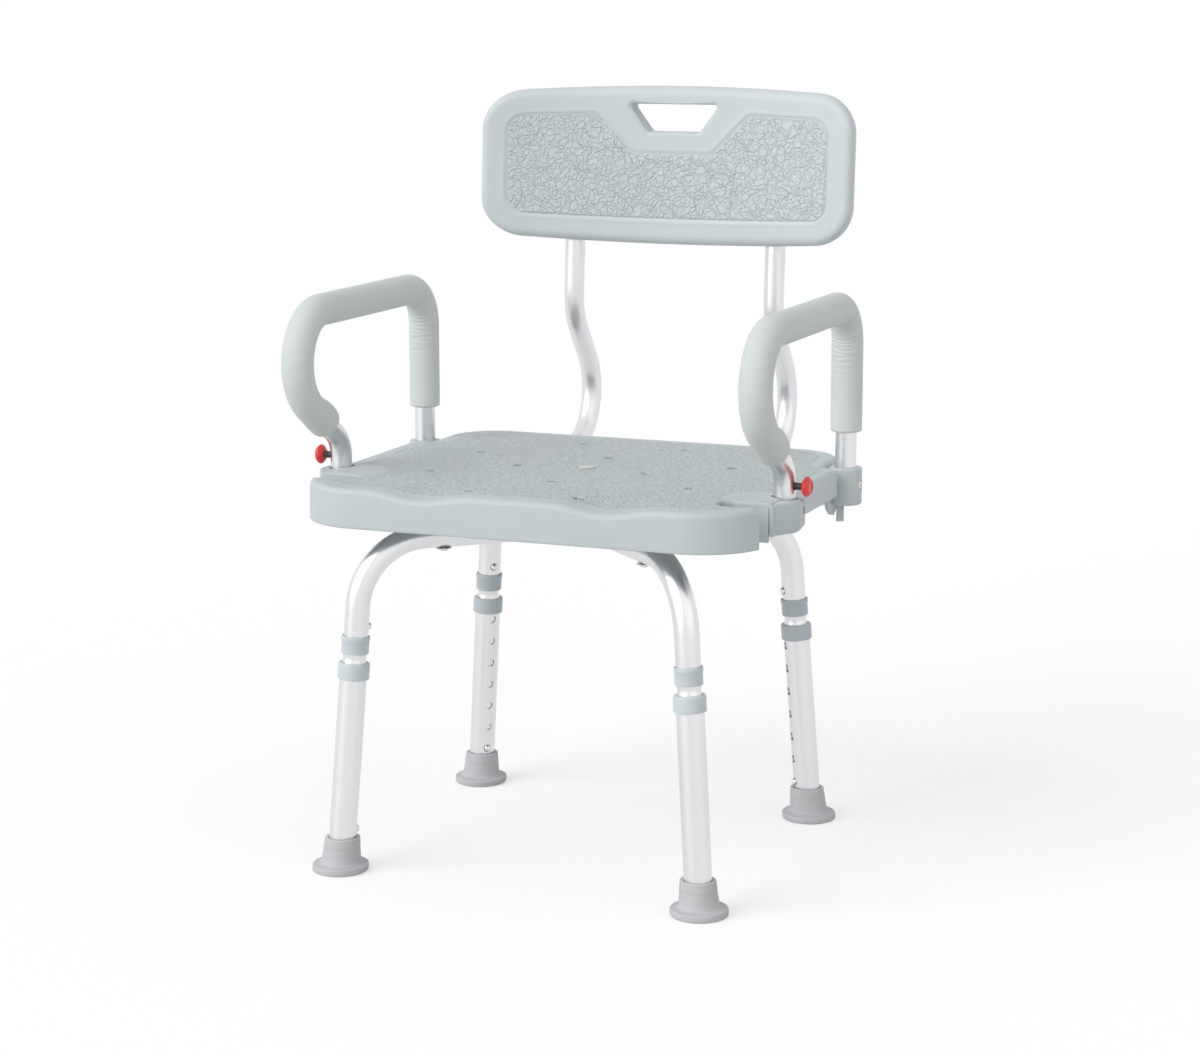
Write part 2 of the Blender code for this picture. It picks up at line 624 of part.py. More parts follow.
def arms(chair):
    for sx, side in SIDES:
        mirror = Matrix.Diagonal((sx, 1, 1, 1))
        hinge = empty(f"arm_hinge_{side}", chair, Matrix.Translation((0, ARM_POST_Y, ARM_PIVOT_Z)))
        back = Matrix.Translation((0, -ARM_POST_Y, -ARM_PIVOT_Z))
        for piece, mesh, material in (("arm_tube", arm_tube(), "anodised"), ("arm_pad", arm_pad(), "foam"),
                                      ("arm_bracket", arm_bracket(), "seat_plastic")):
            node(f"{piece}_{side}", moved(mesh, back @ mirror), material, hinge)
        button = empty(f"release_{side}", hinge, Matrix.Translation((0, ARM_FRONT_Y - ARM_POST_Y, 0)))
        knob = moved(release_knob(), Matrix.Translation((0, -0.001, RELEASE_Z - ARM_PIVOT_Z)))
        spring = moved(release_spring(), Matrix.Translation((0, 0, -ARM_PIVOT_Z)))
        node(f"release_knob_{side}", moved(knob, mirror), "red_plastic", button)
        node(f"release_spring_{side}", moved(spring, mirror), "steel", button)
        place = (0, ARM_POST_Y, ARM_PIVOT_Z)
        node(f"pivot_bolt_{side}", moved(pivot_bolt(), mirror), "steel", chair, place)
        node(f"pivot_nut_{side}", moved(pivot_nut(), mirror), "steel", chair, place)


# ---- back ------------------------------------------------------------------------------------
BACK_START_Y = 0.132
BACK_ROUTE = [(0.131,), (0.060, 128), (0.0442,), (0.060, -41.65), (0.1939,)]
PANEL_THICK, PANEL_SKIN = 0.024, 0.003
TUBE_IN_PANEL_Y = 0.2744          # the tube's axis where it enters the panel
SWELL_R = 0.0152
SOCKET_TOP = 0.7470


def back_tube():
    route = [Vector((0, y, z)) for y, z in bent((BACK_START_Y, BACK_TUBE_Z), 0, BACK_ROUTE)]
    tube = walled(swept(route, BACK_TUBE_R), TUBE_WALL)
    hole = rod(BUTTON_HOLE, (0, BACK_BUTTON_Y, BACK_TUBE_Z - 0.005), (0, BACK_BUTTON_Y, BACK_TUBE_Z - 0.02), 10)
    return cut(tube, hole)


def back_button():
    """The spring button of a back tube, pointing down through the seat's guide."""
    clip = snap_clip(0, 0.0160, BACK_TUBE_R - TUBE_WALL)
    turn = Matrix(((0, 1, 0, 0), (0, 0, 1, BACK_BUTTON_Y), (-1, 0, 0, BACK_TUBE_Z), (0, 0, 0, 1)))
    return moved(clip, turn)


def panel_outline(inset=0.0):
    """Seen from the front: round corners, and a top and bottom edge that bow outwards a little."""
    half, radius, bow = PANEL_HALF - inset, 0.044 - inset, 0.0045
    high, low = PANEL_HIGH - inset, PANEL_LOW + inset
    flat = half - radius
    right = [(flat / 2, low + bow / 4), *arc((flat, low + bow + radius), radius, -90, 0, 5),
             *arc((flat, high - bow - radius), radius, 0, 90, 5), (flat / 2, high - bow / 4)]
    return [(0, low)] + right + [(0, high)] + [(-x, z) for x, z in reversed(right)]


def panel_slab(front, rear, outline, low=0.59, high=0.80):
    """The part of a curved wall, front and rear faces set back by those depths, inside an outline."""
    places = [0.225 * i / 6 for i in range(-6, 7)]
    curve = [(x, PANEL_FRONT - x * x / (2 * PANEL_CURVE)) for x in places]
    plan = [(x, y + front) for x, y in curve] + [(x, y + rear) for x, y in reversed(curve)]
    wall = prism(plan, low, high)
    return joined(wall, [facing(outline)], "INTERSECT")


def facing(outline):
    """An outline seen from the front, as a long bar that runs front to back."""
    bar = prism(outline, -0.35, -0.15)
    return moved(bar, Matrix.Rotation(pi / 2, 4, "X"))


def hand_hole(inset=0.0):
    top, low, half, foot_half = 0.7640 + inset, 0.7340 - inset, 0.0495 + inset, 0.0300 + inset
    return [(-half, top), (-half, top - 0.004), (-foot_half, low), (foot_half, low), (half, top - 0.004), (half, top)]


def panel_recess():
    """The shallow textured field, its top edge dropping below the hand hole."""
    half, radius, low, high = 0.1875, 0.020, 0.637, 0.7555
    right = [(0, low), (0.09, low + 0.001), *arc((half - radius, low + 0.0035 + radius), radius, -90, 0, 3),
             *arc((half - radius, high - 0.0005 - radius), radius, 0, 90, 3), (0.091, high), (0.081, 0.7515),
             (0.0465, 0.716), (0.036, 0.7100)]
    return right + [(-x, z) for x, z in reversed(right[1:])]


def back_panel():
    """A hollow blow-moulded panel, open only at the two sockets for its tubes."""
    body = panel_slab(0, PANEL_THICK, panel_outline())
    swell = rod(SWELL_R, (0, TUBE_IN_PANEL_Y, 0.6175), (0, TUBE_IN_PANEL_Y, 0.752), 16)
    bore = rod(0.0115, (0, TUBE_IN_PANEL_Y, 0.59), (0, TUBE_IN_PANEL_Y, SOCKET_TOP), 16)
    sides = [Matrix.Translation((sx * BACK_X, 0, 0)) for sx, _ in SIDES]
    body = merged(body, *[moved(swell.copy(), place) for place in sides])
    hollow = panel_slab(PANEL_SKIN, PANEL_THICK - PANEL_SKIN, panel_outline(PANEL_SKIN))
    hollow = cut(hollow, facing(hand_hole(PANEL_SKIN)))
    bores = [moved(bore.copy(), place) for place in sides]
    field = panel_slab(-0.002, 0.0013, panel_recess())
    body = cut(body, hollow, *bores, facing(hand_hole()), field)
    lean = Matrix.Identity(4)
    lean[1][2] = tan(BACK_LEAN)
    lean[1][3] = -tan(BACK_LEAN) * 0.612
    return moved(body, lean)


def back(chair):
    tube, button = back_tube(), back_button()
    for sx, side in SIDES:
        node(f"back_tube_{side}", tube, "anodised", chair, (sx * BACK_X, 0, 0))
        node(f"back_button_{side}", button, "steel", chair, (sx * BACK_X, 0, 0))
    node("back_panel", back_panel(), "seat_plastic", chair)


# ---- the whole chair ---------------------------------------------------------------------------
chair_root = empty("chair", None, Matrix.Translation((0, -ORIGIN_Y, 0)))
legs(chair_root)
frame(chair_root)
node("seat", seat(), "seat_plastic", chair_root)
node("drain_cap", drain_cap(), "cap_plastic", chair_root, (0, 0.015, 0))
arms(chair_root)
back(chair_root)
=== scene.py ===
import bpy
import bmesh
import json
from math import cos, degrees, pi, radians, sin, tan
import numpy as np
from mathutils import Matrix, Vector


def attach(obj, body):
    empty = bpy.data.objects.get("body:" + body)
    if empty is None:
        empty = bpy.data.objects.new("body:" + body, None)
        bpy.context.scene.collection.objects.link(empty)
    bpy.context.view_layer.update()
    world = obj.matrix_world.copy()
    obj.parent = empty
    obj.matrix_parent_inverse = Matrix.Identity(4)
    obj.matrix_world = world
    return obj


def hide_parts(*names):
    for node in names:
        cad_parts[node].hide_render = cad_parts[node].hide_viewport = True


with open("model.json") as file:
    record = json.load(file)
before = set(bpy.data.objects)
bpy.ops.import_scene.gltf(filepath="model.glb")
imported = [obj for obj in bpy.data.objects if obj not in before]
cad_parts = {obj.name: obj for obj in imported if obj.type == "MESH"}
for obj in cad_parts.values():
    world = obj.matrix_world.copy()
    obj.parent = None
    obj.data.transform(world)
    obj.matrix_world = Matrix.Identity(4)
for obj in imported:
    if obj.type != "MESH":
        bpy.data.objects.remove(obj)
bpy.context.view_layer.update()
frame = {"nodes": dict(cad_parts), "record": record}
print("frame loaded:", len(frame["nodes"]), "nodes")

chair = {
    "originY": 0.06428,              # the chair is drawn around the middle of its feet
    "footX": 0.196, "footY": 0.177,
    "leanX": 0.069, "leanY": 0.042,  # metres leaned in for each metre of height
    "frameTop": 0.343,
}
corners = [(sx, sy, ("f" if sy < 0 else "r") + ("l" if sx < 0 else "r")) for sx in (-1, 1) for sy in (-1, 1)]
sides = [(-1, "l"), (1, "r")]
mirror = Matrix.Diagonal((-1, 1, 1, 1))
bodyOf = {n: b for b, members in frame["record"]["behaviour"]["bodies"].items() for n in members}


# ------ building by hand, in code
def deselectAll():
    for one in bpy.context.selected_objects:
        one.select_set(False)


def makeActive(piece):
    deselectAll()
    piece.select_set(True)
    bpy.context.view_layer.objects.active = piece
    return piece


def begin(name):                     # the primitive just added, in edit mode
    piece = bpy.context.active_object
    piece.name = piece.data.name = name
    bpy.ops.object.transform_apply(location=True, rotation=True, scale=True)
    bpy.ops.object.mode_set(mode="EDIT")
    bpy.ops.mesh.select_all(action="SELECT")
    return piece


def finishMesh(piece, merge=0.000005):   # doubles merged, faces outwards, back in object mode
    bpy.ops.mesh.select_all(action="SELECT")
    bpy.ops.mesh.remove_doubles(threshold=merge)
    bpy.ops.mesh.normals_make_consistent(inside=False)
    bpy.ops.mesh.select_all(action="DESELECT")
    bpy.ops.object.mode_set(mode="OBJECT")
    return piece


def applyModifier(piece, kind, **values):
    makeActive(piece)
    modifier = piece.modifiers.new(kind.title(), kind)
    for key, value in values.items():
        setattr(modifier, key, value)
    bpy.ops.object.modifier_apply(modifier=modifier.name)
    return piece


def smoothed(piece, angle=40):
    makeActive(piece)
    bpy.ops.object.shade_smooth_by_angle(angle=radians(angle))
    return piece


def turnedInto(piece, matrix):       # moved by a matrix, with its place kept in its mesh
    makeActive(piece)
    piece.matrix_world = matrix
    bpy.ops.object.transform_apply(location=True, rotation=True, scale=True)
    if matrix.determinant() < 0:
        bpy.ops.object.mode_set(mode="EDIT")
        bpy.ops.mesh.select_all(action="SELECT")
        bpy.ops.mesh.flip_normals()
        bpy.ops.object.mode_set(mode="OBJECT")
    return piece


def copied(piece, name, matrix=Matrix.Identity(4)):
    twin = piece.copy()
    twin.data = piece.data.copy()
    bpy.context.scene.collection.objects.link(twin)
    twin.name = twin.data.name = name
    return turnedInto(twin, matrix)


def removed(piece):
    bpy.data.objects.remove(piece)


def united(pieces, name):            # several pieces as one object
    makeActive(pieces[0])
    for piece in pieces[1:]:
        piece.select_set(True)
    bpy.ops.object.join()
    pieces[0].name = pieces[0].data.name = name
    return pieces[0]


def carved(piece, cutter, operation="DIFFERENCE"):
    applyModifier(piece, "BOOLEAN", operation=operation, object=cutter, solver="EXACT")
    removed(cutter)
    return piece


def lathe(name, profile, around=40, ring=False):
    radius, height = profile[0]
    deselectAll()
    bpy.ops.mesh.primitive_circle_add(vertices=around, radius=radius, location=(0, 0, height),
                                      fill_type="NOTHING" if ring else "NGON")
    piece = begin(name)
    for nextRadius, nextHeight in profile[1:] + ([profile[0]] if ring else []):
        bpy.ops.mesh.extrude_region_move(TRANSFORM_OT_translate={"value": (0, 0, nextHeight - height)})
        scale = nextRadius / radius
        bpy.ops.transform.resize(value=(scale, scale, 1), center_override=(0, 0, nextHeight))
        radius, height = nextRadius, nextHeight
    return finishMesh(piece)


def rounding(centreR, centreZ, size, start, end, steps=4):   # an arc of a lathe profile, in degrees
    angles = [radians(start + (end - start) * i / steps) for i in range(steps + 1)]
    return [(centreR + size * cos(a), centreZ + size * sin(a)) for a in angles]


def bentTube(name, start, heading, moves, radius, around=32, step=6):
    start, heading = Vector(start), Vector(heading).normalized()
    deselectAll()
    turn = heading.to_track_quat("Z", "X").to_euler()
    bpy.ops.mesh.primitive_circle_add(vertices=around, radius=radius, location=start, rotation=turn)
    piece = begin(name)
    here = start
    for move in moves:
        if len(move) == 1:           # a straight run
            count = max(1, round(move[0] / 0.02))
            for _ in range(count):
                bpy.ops.mesh.extrude_region_move(
                    TRANSFORM_OT_translate={"value": heading * move[0] / count})
            here = here + heading * move[0]
            continue
        bend, angle, axis = move     # a bend, turned by the right-hand rule about its axis
        axis = Vector(axis).normalized()
        centre = here + axis.cross(heading) * bend * (1 if angle > 0 else -1)
        bpy.ops.mesh.spin(steps=max(2, round(abs(angle) / step)), angle=-radians(angle),
                          center=centre, axis=axis)
        swing = Matrix.Rotation(radians(angle), 3, axis)
        here, heading = centre + swing @ (here - centre), swing @ heading
    return finishMesh(piece)


def roundOutline(points, steps=6):   # corners (x, y, radius), left turns; gives the outline for an inset
    def outline(inset=0.0):
        made = []
        for i, (x, y, radius) in enumerate(points):
            here = Vector((x, y))
            into = (here - Vector(points[i - 1][:2])).normalized()
            away = (Vector(points[(i + 1) % len(points)][:2]) - here).normalized()
            left, nextLeft = Vector((-into.y, into.x)), Vector((-away.y, away.x))
            side = 1 if into.cross(away) > 0 else -1
            corner = here + (left + nextLeft) / (1 + left.dot(nextLeft)) * inset
            size = max(radius - side * inset, 0.0002)
            half = into.angle(away) / 2
            centre = corner - into * size * tan(half) + left * size * side
            spoke = -left * size * side
            for k in range(steps + 1):
                made.append(centre + Matrix.Rotation(2 * half * side * k / steps, 2) @ spoke)
        return made
    return outline


def boxOutline(left, right, low, high, radius, steps):
    corner = [(left, low), (right, low), (right, high), (left, high)]
    return roundOutline([(x, y, radius) for x, y in corner], steps)


def quarter(steps):                  # (1 - cos, sin) along a quarter turn
    return [(1 - cos(pi / 2 * i / steps), sin(pi / 2 * i / steps)) for i in range(steps + 1)]


def loft(name, rings):               # closed rings of the same count, capped at both ends
    deselectAll()
    bpy.ops.mesh.primitive_circle_add(vertices=len(rings[0]), fill_type="NGON")
    piece = begin(name)
    mesh = bmesh.from_edit_mesh(piece.data)
    for vertex, spot in zip(sorted(mesh.verts, key=lambda v: v.index), rings[0]):
        vertex.co = spot
    bmesh.update_edit_mesh(piece.data)
    for ring, nextRing in zip(rings, rings[1:]):
        bpy.ops.mesh.extrude_region_move(TRANSFORM_OT_translate={"value": (0, 0, 0)})
        mesh = bmesh.from_edit_mesh(piece.data)
        place = {tuple(round(c, 6) for c in Vector(a)): Vector(b) for a, b in zip(ring, nextRing)}
        for vertex in [v for v in mesh.verts if v.select]:
            vertex.co = place[tuple(round(c, 6) for c in vertex.co)]
        bmesh.update_edit_mesh(piece.data)
    return finishMesh(piece)


def stacked(name, outline, levels):      # an outline lofted through its insets and heights
    return loft(name, [[(p.x, p.y, z) for p in outline(inset)] for inset, z in levels])


def roundedPlate(name, outline, low, high, size, steps=3):   # a flat shape with rounded rims
    arc = [(size * (1 - rise), size * fall) for fall, rise in quarter(steps)]
    return stacked(name, outline, [(inset, low + rise) for inset, rise in arc]
                   + [(inset, high - rise) for inset, rise in reversed(arc)])


def flaredCutter(name, outline, low, high, flare=0.0012):    # leaves a rounded rim at its top
    rim = [(-flare * out, high - flare + flare * rise) for out, rise in quarter(3)]
    return stacked(name, outline, [(0, low)] + rim + [(-flare, high + 0.004)])


def dome(radius, base, rise, angles):    # the end of a lathe profile, at these degrees
    return [(radius * cos(radians(t)), base + rise * sin(radians(t))) for t in angles]


def crossRecess(piece, half, low, high):     # for a screwdriver, along Z
    for turn in (0, pi / 2):
        tool = roundedPlate("recess", boxOutline(-half, half, -0.0005, 0.0005, 0.0002, 2), low, high, 0.0002)
        carved(piece, turnedInto(tool, Matrix.Rotation(turn, 4, "Z")))


def pointsOf(piece):
    co = np.zeros(len(piece.data.vertices) * 3)
    piece.data.vertices.foreach_get("co", co)
    return co.reshape(-1, 3)


def placePoints(piece, co):
    piece.data.vertices.foreach_set("co", co.ravel())
    piece.data.update()


def barBetween(name, start, end, radius, around=24):
    way = Vector(end) - Vector(start)
    deselectAll()
    turn = way.to_track_quat("Z", "Y").to_euler()
    bpy.ops.mesh.primitive_circle_add(vertices=around, radius=radius, location=start, rotation=turn,
                                      fill_type="NGON")
    piece = begin(name)
    bpy.ops.mesh.extrude_region_move(TRANSFORM_OT_translate={"value": way})
    return finishMesh(piece)


def barAcross(name, left, right, y, z, radius, around=24):     # a bar along X
    return barBetween(name, (left, y, z), (right, y, z), radius, around)


def legPlace(sx, sy):                # the leg's own axes: Z up along it, X towards the middle
    up = Vector((-sx * chair["leanX"], -sy * chair["leanY"], 1)).normalized()
    inward = Vector((-sx * chair["footX"], -sy * chair["footY"], 0))
    inward = (inward - up * inward.dot(up)).normalized()
    turn = Matrix((inward, up.cross(inward), up)).transposed().to_4x4()
    return Matrix.Translation((sx * chair["footX"], sy * chair["footY"], 0)) @ turn


def cornerTop(sx, sy):               # where the leg's line meets the crossed frame
    c, high = chair, chair["frameTop"]
    return Vector((sx * (c["footX"] - c["leanX"] * high), sy * (c["footY"] - c["leanY"] * high), high))


def screwPlace(sx, sy):              # where a corner's seat screw stands, in plan
    way = cornerTop(sx, sy)
    way.z = 0
    return way.normalized() * seatMake["screwOut"]


def settle(piece, node, material, angle=40, extra=()):
    turnedInto(piece, Matrix.Translation((0, -chair["originY"], 0)))
    smoothed(piece, angle)
    for finish in (material, *extra):
        piece.data.materials.append(finish)
    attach(piece, bodyOf[node])
    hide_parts(node)
    return piece


# ------ finishes
def newFinish(name, colour, roughness, metallic=0.0, **sockets):
    finish = bpy.data.materials.new(name)
    finish.use_nodes = True
    shader = finish.node_tree.nodes["Principled BSDF"]
    shader.inputs["Base Color"].default_value = (*colour, 1)
    shader.inputs["Roughness"].default_value = roughness
    shader.inputs["Metallic"].default_value = metallic
    for socket, value in sockets.items():
        shader.inputs[socket.replace("_", " ")].default_value = value
    return finish, finish.node_tree.nodes, finish.node_tree.links, shader


def addNode(nodes, kind, **values):
    made = nodes.new("ShaderNode" + kind)
    for key, value in values.items():
        if key in made.inputs:
            made.inputs[key].default_value = value
        else:
            setattr(made, key, value)
    return made


def addRamp(nodes, links, source, stops):
    ramp = nodes.new("ShaderNodeValToRGB")
    elements = ramp.color_ramp.elements
    while len(elements) < len(stops):
        elements.new(0.5)
    for element, (position, colour) in zip(elements, stops):
        element.position = position
        element.color = (*colour, 1) if isinstance(colour, tuple) else (colour, colour, colour, 1)
    links.new(source, ramp.inputs["Fac"])
    return ramp.outputs["Color"]


def addMath(nodes, links, operation, first, second):
    made = nodes.new("ShaderNodeMath")
    made.operation = operation
    for socket, value in zip(made.inputs, (first, second)):
        if isinstance(value, (int, float)):
            socket.default_value = value
        else:
            links.new(value, socket)
    return made.outputs[0]


def addNoise(nodes, links, where, scale, detail=3.0, roughness=0.55):
    noise = addNode(nodes, "TexNoise", Scale=scale, Detail=detail, Roughness=roughness)
    links.new(where, noise.inputs["Vector"])
    return noise.outputs["Fac"]


def addBump(nodes, links, height, strength, distance, under=None):
    bump = addNode(nodes, "Bump", Strength=strength, Distance=distance)
    links.new(height, bump.inputs["Height"])
    if under:
        links.new(under, bump.inputs["Normal"])
    return bump.outputs["Normal"]


def varied(nodes, links, where, shader, colour, spread, scale, roughness):
    cloud = addNoise(nodes, links, where, scale, 4.0)
    low, high = [tuple(c * k for c in colour) for k in (1 - spread, 1 + spread)]
    links.new(addRamp(nodes, links, cloud, [(0.3, low), (0.7, high)]), shader.inputs["Base Color"])
    fine = addNoise(nodes, links, where, scale * 22, 3.0)
    gloss = addRamp(nodes, links, fine, [(0.25, roughness[0]), (0.75, roughness[1])])
    links.new(gloss, shader.inputs["Roughness"])


mouldedLook = {
    "colour": (0.532, 0.582, 0.597), "roughness": (0.42, 0.54), "grainScale": 150, "grainDepth": 0.0014,
}


def mouldedPlastic(name, colour, roughness, grain=False):
    finish, nodes, links, shader = newFinish(name, colour, roughness[0], Specular_IOR_Level=0.42)
    where = addNode(nodes, "TexCoord").outputs["Object"]
    varied(nodes, links, where, shader, colour, 0.022, 9, roughness)
    skin = addBump(nodes, links, addNoise(nodes, links, where, 1500, 2.0), 0.12, 0.0002)
    if grain:                        # wrinkled leather grain where the attribute says so
        mask = addNode(nodes, "Attribute", attribute_name="grain").outputs["Fac"]
        warpNoise = addNode(nodes, "TexNoise", Scale=55.0, Detail=3.0, Roughness=0.6)
        links.new(where, warpNoise.inputs["Vector"])
        warp = addNode(nodes, "VectorMath", operation="SCALE")
        warp.inputs["Scale"].default_value = 0.022
        links.new(warpNoise.outputs["Color"], warp.inputs[0])
        moved = addNode(nodes, "VectorMath", operation="ADD")
        links.new(where, moved.inputs[0])
        links.new(warp.outputs[0], moved.inputs[1])
        turned = addNode(nodes, "Mapping")
        turned.inputs["Rotation"].default_value = (0.4, 0.7, 0.6)
        turned.inputs["Scale"].default_value = (1.0, 0.55, 1.0)
        links.new(moved.outputs[0], turned.inputs["Vector"])
        heights = []
        for scale, reach in ((mouldedLook["grainScale"], 0.16), (mouldedLook["grainScale"] * 0.55, 0.11)):
            cells = addNode(nodes, "TexVoronoi", feature="DISTANCE_TO_EDGE", Scale=scale)
            links.new(turned.outputs[0], cells.inputs["Vector"])
            stops = [(0.0, 0.0), (reach * 0.5, 0.65), (reach, 1.0)]
            heights.append(addRamp(nodes, links, cells.outputs["Distance"], stops))
        pebble = addNoise(nodes, links, moved.outputs[0], 260, 3.0)
        total = addMath(nodes, links, "ADD", addMath(nodes, links, "MULTIPLY", heights[0], 0.55),
                        addMath(nodes, links, "MULTIPLY", heights[1], 0.5))
        total = addMath(nodes, links, "ADD", total, addMath(nodes, links, "MULTIPLY", pebble, 0.5))
        total = addMath(nodes, links, "MULTIPLY", total, mask)
        skin = addBump(nodes, links, total, 0.9, mouldedLook["grainDepth"], skin)
    links.new(skin, shader.inputs["Normal"])
    return finish


def anodisedAluminium():
    colour = (0.735, 0.735, 0.745)
    finish, nodes, links, shader = newFinish("anodisedAluminium", colour, 0.33, 1.0)
    where = addNode(nodes, "TexCoord").outputs["Object"]
    varied(nodes, links, where, shader, colour, 0.018, 14, (0.29, 0.37))
    fine = addNoise(nodes, links, where, 2200, 2.0)
    links.new(addBump(nodes, links, fine, 0.05, 0.0001), shader.inputs["Normal"])
    return finish


def armFoam():
    colour = (0.648, 0.688, 0.661)
    finish, nodes, links, shader = newFinish("armFoam", colour, 0.8, Sheen_Weight=0.18, Sheen_Roughness=0.5,
                                             Specular_IOR_Level=0.25)
    where = addNode(nodes, "TexCoord").outputs["Object"]
    varied(nodes, links, where, shader, colour, 0.02, 12, (0.74, 0.86))
    cells = addNode(nodes, "TexVoronoi", Scale=1300.0)
    links.new(where, cells.inputs["Vector"])
    skin = addBump(nodes, links, cells.outputs["Distance"], 0.16, 0.0003)
    soft = addBump(nodes, links, addNoise(nodes, links, where, 170, 3.0), 0.10, 0.0010, skin)
    links.new(soft, shader.inputs["Normal"])
    return finish


def footRubber():
    colour = (0.545, 0.550, 0.562)
    finish, nodes, links, shader = newFinish("footRubber", colour, 0.7, Specular_IOR_Level=0.3)
    where = addNode(nodes, "TexCoord").outputs["Object"]
    varied(nodes, links, where, shader, colour, 0.04, 60, (0.62, 0.78))
    fine = addNoise(nodes, links, where, 900, 3.0)
    links.new(addBump(nodes, links, fine, 0.22, 0.0003), shader.inputs["Normal"])
    return finish


def brightSteel():
    colour = (0.70, 0.68, 0.64)
    finish, nodes, links, shader = newFinish("brightSteel", colour, 0.25, 1.0)
    where = addNode(nodes, "TexCoord").outputs["Object"]
    varied(nodes, links, where, shader, colour, 0.06, 160, (0.18, 0.34))
    return finish


def glossPlastic(name, colour, roughness):
    finish, nodes, links, shader = newFinish(name, colour, roughness[0], Coat_Weight=0.15, Coat_Roughness=0.2)
    where = addNode(nodes, "TexCoord").outputs["Object"]
    varied(nodes, links, where, shader, colour, 0.05, 120, roughness)
    fine = addNoise(nodes, links, where, 1200, 2.0)
    links.new(addBump(nodes, links, fine, 0.08, 0.0002), shader.inputs["Normal"])
    return finish


shellPlastic = mouldedPlastic("shellPlastic", mouldedLook["colour"], mouldedLook["roughness"], grain=True)
# the seat's moulded plastic made lighter for the back panel: painted light on the panel's front-facing side
panelPlasticPaintedLight = mouldedPlastic("panelPlasticPaintedLight", (0.585, 0.630, 0.645), mouldedLook["roughness"], grain=True)
bracketPlastic = mouldedPlastic("bracketPlastic", (0.55, 0.60, 0.612), (0.44, 0.56))
# one collar plastic in two tones: the darker copy is painted shade for the rear collars, the paler copy
# painted light for the front collars
collarPaintedShade = mouldedPlastic("collarPaintedShade", (0.490, 0.540, 0.565), (0.36, 0.5))
collarPaintedLight = mouldedPlastic("collarPaintedLight", (0.600, 0.660, 0.680), (0.34, 0.48))
aluminium = anodisedAluminium()
foam = armFoam()
rubber = footRubber()
steel = brightSteel()
knobRed = glossPlastic("knobRed", (0.75, 0.045, 0.035), (0.28, 0.4))
neckBlack = glossPlastic("neckBlack", (0.018, 0.018, 0.02), (0.35, 0.5))
capCream = glossPlastic("capCream", (0.62, 0.63, 0.59), (0.4, 0.5))
print("finishes made")


# ------ seat
seatMake = {
    "front": -0.190, "rear": 0.217, "half": 0.245, "rearHalf": 0.2245, "shoulder": 0.111,
    "top": 0.4005, "bottom": 0.360, "frontCorner": 0.072, "rearCorner": 0.055,
    "edge": 0.0062, "wall": 0.0038, "cell": 0.0034,
    "dipDepth": 0.0078, "dipAt": 0.098, "dipHalf": 0.058, "dipRun": 0.085,
    "slotX": 0.2085, "slotY": -0.125, "slotR": 0.0155,
    "sideBottom": 0.372, "bossLow": 0.3665, "bossHigh": 0.3985,
    "socketX": 0.2427, "socketY": -0.067, "socketR": 0.020, "boreR": 0.0128, "lockZ": 0.388,
    "pivotY": 0.138, "pivotZ": 0.379, "tubeX": 0.118, "tubeZ": 0.379,
    "screwOut": 0.1505, "drainR": 0.0061, "drainY": 0.004, "capY": 0.015, "buttonY": 0.176,
}


def seatEdge():
    s = seatMake
    corner = [(-s["half"], s["front"], s["frontCorner"]), (s["half"], s["front"], s["frontCorner"]),
              (s["half"], s["shoulder"], 0.0115), (s["rearHalf"], s["shoulder"], 0.003),
              (s["rearHalf"], s["rear"], s["rearCorner"]), (-s["rearHalf"], s["rear"], s["rearCorner"]),
              (-s["rearHalf"], s["shoulder"], 0.003), (-s["half"], s["shoulder"], 0.0115)]
    return roundOutline(corner, 16)


def thighDip(x, y):                  # how far the top is scooped at a point
    s = seatMake
    across = np.clip(np.abs(np.abs(x) - s["dipAt"]) / s["dipHalf"], 0, 1)
    along = np.clip((y - s["front"]) / s["dipRun"], 0, 1)
    return s["dipDepth"] * (0.5 + 0.5 * np.cos(pi * across)) * (1 - along) ** 1.3


def wrappedGrid(name, outline, cornerIndex, levels, columns, rows):
    deselectAll()
    bpy.ops.mesh.primitive_grid_add(x_subdivisions=columns, y_subdivisions=rows, size=2)
    piece = bpy.context.active_object
    piece.name = piece.data.name = name
    loops = [np.array([p[:] for p in outline(inset)]) for inset, _ in levels]
    closed = np.vstack([loops[0], loops[0][:1]])
    run = np.concatenate([[0], np.cumsum(np.linalg.norm(np.diff(closed, axis=0), axis=1))])
    stops = [run[i] for i in cornerIndex]
    stops.append(stops[0] + run[-1])

    def along(loop, side, fraction):     # a point on one side of a loop
        place = (stops[side] + (stops[side + 1] - stops[side]) * fraction) % run[-1]
        ring = np.vstack([loop, loop[:1]])
        return np.stack([np.interp(place, run, ring[:, 0]), np.interp(place, run, ring[:, 1])], -1)

    co = pointsOf(piece)
    i = np.rint((co[:, 0] + 1) / 2 * columns).astype(int)
    j = np.rint((co[:, 1] + 1) / 2 * rows).astype(int)
    ringOf = np.minimum(np.minimum(i, columns - i), np.minimum(j, rows - j))
    last = len(levels) - 1
    for k in range(last + 1):
        here = ringOf == k if k < last else ringOf >= k
        u = (i[here] - k) / (columns - 2 * k)
        v = (j[here] - k) / (rows - 2 * k)
        low, high = along(loops[k], 0, u), along(loops[k], 2, 1 - u)
        right, left = along(loops[k], 1, v), along(loops[k], 3, 1 - v)
        c = [along(loops[k], n, np.array([0.0]))[0] for n in range(4)]
        if k < last:
            edge = np.where((j[here] == k)[:, None], low, np.where((j[here] == rows - k)[:, None], high,
                            np.where((i[here] == columns - k)[:, None], right, left)))
            co[here, :2] = edge
        else:
            u, v = u[:, None], v[:, None]
            blend = (1 - u) * (1 - v) * c[0] + u * (1 - v) * c[1] + u * v * c[2] + (1 - u) * v * c[3]
            co[here, :2] = (1 - v) * low + v * high + (1 - u) * left + u * right - blend
        co[here, 2] = levels[k][1]
    return piece, co


